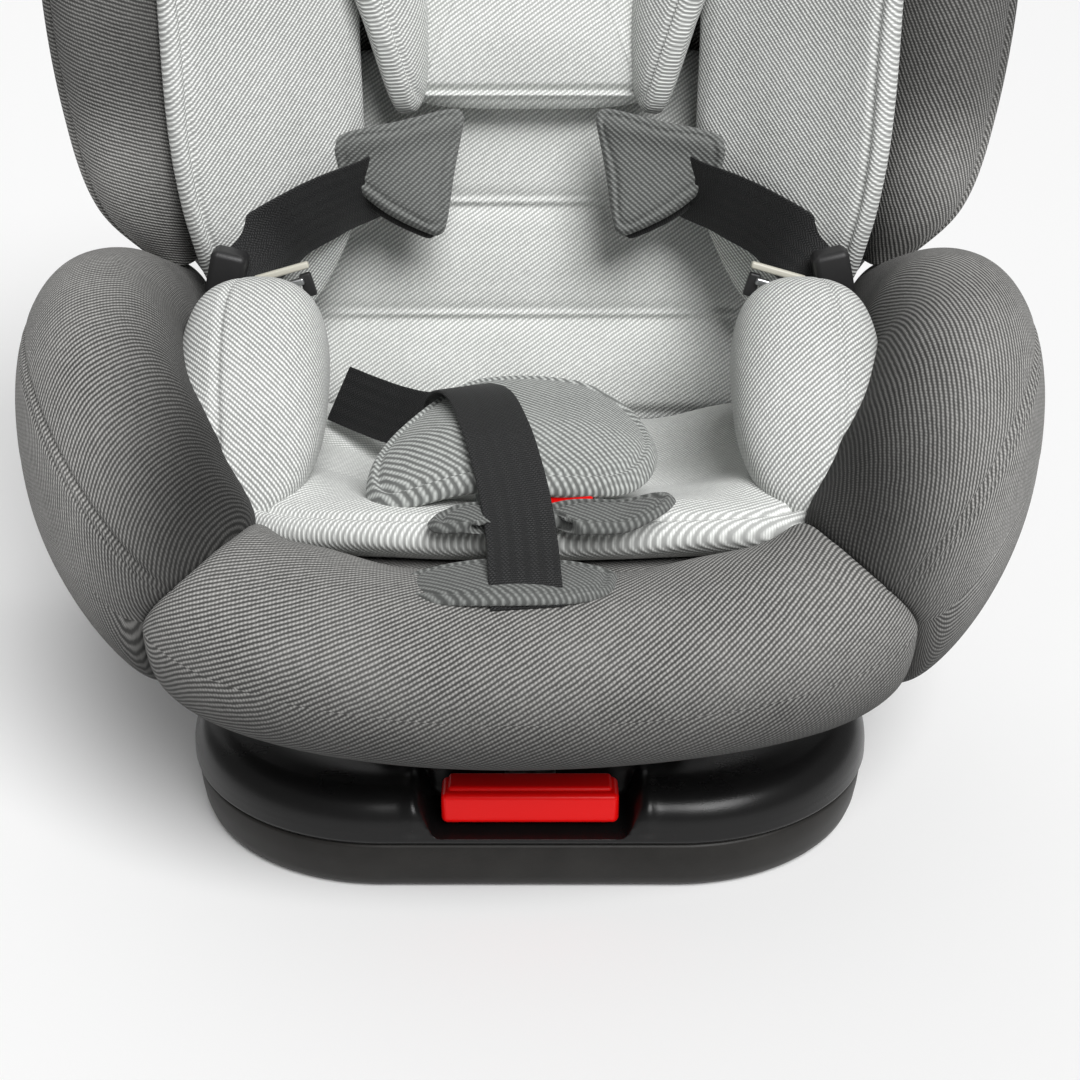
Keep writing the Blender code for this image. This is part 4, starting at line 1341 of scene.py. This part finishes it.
class SEAT_OT_buckle(bpy.types.Operator):
    """Makes the buckle, its red button, its bound pad and the crotch strap"""

    bl_idname = "child_seat.buckle"
    bl_label = "Buckle"

    def execute(self, context):
        repaint("buckle_housing", MATERIALS["grey"])
        low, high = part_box("buckle_button")
        button = rounded_block("buckle_red_button", low, high, 0.002)
        finish_piece(button, MATERIALS["red"], "buckle_button", ["buckle_button"])
        upper = [
            (-0.070, -0.022), (-0.066, -0.038), (-0.050, -0.044), (-0.020, -0.046), (0.020, -0.047),
            (0.044, -0.040)
        ]
        upper += [
            (0.058, -0.024), (0.060, 0.000), (0.050, 0.026), (0.026, 0.042), (-0.004, 0.044),
            (-0.034, 0.034), (-0.060, 0.006)
        ]
        lower = [
            (-0.048, -0.006), (-0.034, -0.014), (-0.0285, -0.006), (-0.022, -0.003), (0.004, -0.003),
            (0.0105, -0.006)
        ]
        lower += [
            (0.017, -0.016), (0.042, -0.014), (0.054, -0.002), (0.050, 0.010), (0.0, 0.014), (-0.044, 0.008)
        ]
        lower = [(u, v * 0.72 - 0.004) for u, v in lower]

        def relief(u, v, inset):
            return 0.0013 * bell(inset - 0.0030, 0.0016) - 0.0016 * bell(inset - 0.0062, 0.0013)

        def droop(u, v):
            sides = (
                0.016 * (np.maximum(-u - 0.020, 0.0) / 0.05) ** 1.5 + 0.010
                * (np.maximum(u - 0.025, 0.0) / 0.035) ** 1.5
            )
            return 0.003 * bell(u + 0.01, 0.04) - sides - 0.014 * ease((-0.012 - v) / 0.040)

        pad = cushion(
            "buckle_pad_cushion", upper, (-0.003, -0.119, 0.2005), (1, 0, 0), (0, 1, 0.03), 0.0070, droop, relief,
            edge=6.0, rows=90, cols=300,
        )
        finish_piece(pad, MATERIALS["pad"], "buckle", ["buckle_pad"])
        def lift(u, v):
            return (
                0.006 * ease((u - 0.030) / 0.024) - 0.004 * ease((-u - 0.03) / 0.02) - 0.0050
                * bell(u + 0.009, 0.013)
            )

        under = cushion(
            "buckle_pad_lower", lower, (0.006, -0.181, 0.1852), (1, 0, 0), (0, 1, 0.12), 0.0034, lift,
            relief, edge=6.0, rows=50, cols=200
        )
        finish_piece(under, MATERIALS["sleeve"], "buckle")
        route = np.array(
            [(0.0, -0.098, 0.1800), (0.0, -0.086, 0.1770), (0.0, -0.074, 0.1740), (0.0, -0.062, 0.1705)]
        )
        obj, _ = webbing("crotch_webbing", route, np.tile((1.0, 0.0, 0.0), (4, 1)), 0.038, 0.0015)
        finish_piece(obj, MATERIALS["webbing"], "buckle", ["crotch_strap"])
        return {"FINISHED"}


# The adjuster strap's way from the flap over the buckle pad to its stitched end.
ADJUSTER_ROUTE = [
    (-0.001, -0.2325, 0.1655), (-0.002, -0.222, 0.1735), (-0.003, -0.205, 0.1790), (-0.005, -0.187, 0.1870)
]
ADJUSTER_ROUTE += [
    (-0.009, -0.168, 0.1985), (-0.015, -0.145, 0.2095), (-0.023, -0.115, 0.2140), (-0.035, -0.086, 0.2095)
]
ADJUSTER_ROUTE[-1] = (-0.033, -0.092, 0.2085)
ADJUSTER_ROUTE += [
    (-0.042, -0.073, 0.1930), (-0.052, -0.056, 0.1790), (-0.067, -0.040, 0.1755), (-0.083, -0.024, 0.1750)
]
ADJUSTER_ROUTE += [(-0.099, -0.008, 0.1755)]
ADJUSTER_ACROSS = (
    [(1.0, 0.0, 0.0)] * 6 + [(1.0, 0.1, 0.0), (0.95, 0.35, 0.05), (0.75, 0.45, 0.40)] + [(0.38, 0.39, 0.84)]
    * 4
)


class SEAT_OT_adjuster(bpy.types.Operator):
    """Makes the adjuster strap, its flap, housing and lever"""

    bl_idname = "child_seat.adjuster"
    bl_label = "Harness adjuster"

    def execute(self, context):
        obj, centre = webbing(
            "adjuster_webbing", ADJUSTER_ROUTE, ADJUSTER_ACROSS, sizes().strap, 0.0016, count=300
        )
        finish_piece(obj, MATERIALS["webbing"], None, ["adjuster_strap"])
        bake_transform(obj)
        outline = [
            (-0.049, 0.010), (-0.048, -0.002), (-0.036, -0.012), (-0.010, -0.018), (0.018, -0.016),
            (0.036, -0.006)
        ]
        outline += [(0.040, 0.006), (0.036, 0.013), (-0.004, 0.015), (-0.040, 0.014)]

        def edge_stitch(u, v, inset):
            return 0.0010 * bell(inset - 0.0022, 0.0014) - 0.0012 * bell(inset - 0.0050, 0.0012)

        def droop(u, v):
            return -0.006 * (u / 0.045) ** 2

        flap = cushion(
            "adjuster_flap_cushion", outline, (-0.004, -0.216, 0.1700), (1, 0, 0), (0, 1, 0.06), 0.0034, droop, edge_stitch,
            edge=6.0, rows=50, cols=220,
        )
        finish_piece(flap, MATERIALS["sleeve"], "seat", ["adjuster_flap"])
        repaint("adjuster_housing", MATERIALS["grey"])
        low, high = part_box("adjuster_lever")
        lever = rounded_block("adjuster_press_lever", low, high, 0.001)
        finish_piece(lever, MATERIALS["red"], "adjuster_lever", ["adjuster_lever"])
        return {"FINISHED"}


# ---------------------------------------------------------------- stage


FLOOR_HALF = 6.0
SKY_STRENGTH = 0.22
SKY_EXTRA_SEEN = 0.72
# Each sun's name, the direction it shines from, its angle in degrees and its strength.
SUNS = (("key", (0.28, -0.62, 0.74), 36.0, 3.40), ("rear", (-0.3, 0.8, 0.5), 60.0, 0.30))
CAMERA_PLACE = (0.0, -0.8519, 0.4849)
CAMERA_TILT = 65.0
CAMERA_LENS = 57.47
CAMERA_SHIFT = 0.00926


class SEAT_OT_stage(bpy.types.Operator):
    """Makes the floor, the soft light and the camera"""

    bl_idname = "child_seat.stage"
    bl_label = "Stage"

    def execute(self, context):
        corners = [[(-FLOOR_HALF, y, 0.0), (FLOOR_HALF, y, 0.0)] for y in (-FLOOR_HALF, FLOOR_HALF)]
        floor = surface("floor", np.array(corners), np.zeros((2, 2, 2)), False, False)
        pale, _, shader = start_material("pale floor", 0.6)
        shader.inputs["Base Color"].default_value = (*context.scene.seat_colours.floor, 1.0)
        shader.inputs["Specular IOR Level"].default_value = 0.2
        floor.data.materials.append(pale)
        world = bpy.data.worlds.new("studio")
        world.use_nodes = True
        world.node_tree.nodes["Background"].inputs["Color"].default_value = (1.0, 1.0, 1.0, 1.0)
        sky = Wires(world.node_tree)
        seen = sky.node("ShaderNodeLightPath").outputs["Is Camera Ray"]
        sky.link(
            sky.math("MULTIPLY_ADD", seen, SKY_EXTRA_SEEN, SKY_STRENGTH),
            world.node_tree.nodes["Background"].inputs["Strength"]
        )
        context.scene.world = world
        for name, place, spread_angle, power in SUNS:
            light = bpy.data.lights.new(name, "SUN")
            light.angle = math.radians(spread_angle)
            light.energy = power
            lamp = bpy.data.objects.new(name, light)
            lamp.matrix_world = look_at(place, (0.0, 0.0, 0.0))
            context.scene.collection.objects.link(lamp)
        lens = bpy.data.cameras.new("camera")
        lens.lens = CAMERA_LENS
        lens.sensor_width = 36.0
        lens.shift_x = CAMERA_SHIFT
        camera = bpy.data.objects.new("camera", lens)
        camera.location = CAMERA_PLACE
        camera.rotation_euler = (math.radians(CAMERA_TILT), 0.0, 0.0)
        context.scene.collection.objects.link(camera)
        context.scene.camera = camera
        context.scene.view_settings.view_transform = "Standard"
        return {"FINISHED"}


def look_at(place, aim):
    """A matrix at the place whose -Z points at the aim."""
    back = unit(np.array(place, float) - np.array(aim, float))
    right = unit(np.cross([0.0, 0.0, 1.0], back))
    return Matrix(
        [[*r, t] for r, t in zip(np.stack([right, np.cross(back, right), back], axis=1), place)]
        + [[0, 0, 0, 1]]
    )


# ---------------------------------------------------------------- panel and registration

STEPS = (
    SEAT_OT_stage, SEAT_OT_adjuster, SEAT_OT_base, SEAT_OT_turntable, SEAT_OT_isofix, SEAT_OT_shells,
    SEAT_OT_cover, SEAT_OT_insert, SEAT_OT_headrest, SEAT_OT_harness, SEAT_OT_buckle,
)


class SEAT_PT_panel(bpy.types.Panel):
    """Lists the steps that make the seat"""

    bl_idname = "SEAT_PT_panel"
    bl_label = "Child Seat"
    bl_space_type = "VIEW_3D"
    bl_region_type = "UI"
    bl_category = "Child Seat"

    def draw(self, context):
        for key in SeatColours.__annotations__:
            self.layout.prop(context.scene.seat_colours, key)
        for key in SeatSizes.__annotations__:
            self.layout.prop(context.scene.seat_sizes, key)
        for step in STEPS:
            self.layout.operator(step.bl_idname)


CLASSES = (SeatColours, SeatSizes, *STEPS, SEAT_PT_panel)


def register():
    for cls in CLASSES:
        bpy.utils.register_class(cls)
    bpy.types.Scene.seat_colours = bpy.props.PointerProperty(type=SeatColours)
    bpy.types.Scene.seat_sizes = bpy.props.PointerProperty(type=SeatSizes)


def unregister():
    del bpy.types.Scene.seat_sizes
    del bpy.types.Scene.seat_colours
    for cls in reversed(CLASSES):
        bpy.utils.unregister_class(cls)


def main():
    register()
    make_materials(bpy.context.scene.seat_colours)
    for step in STEPS:
        group_name, operator = step.bl_idname.split(".")
        getattr(getattr(bpy.ops, group_name), operator)()


if __name__ == "__main__":
    main()
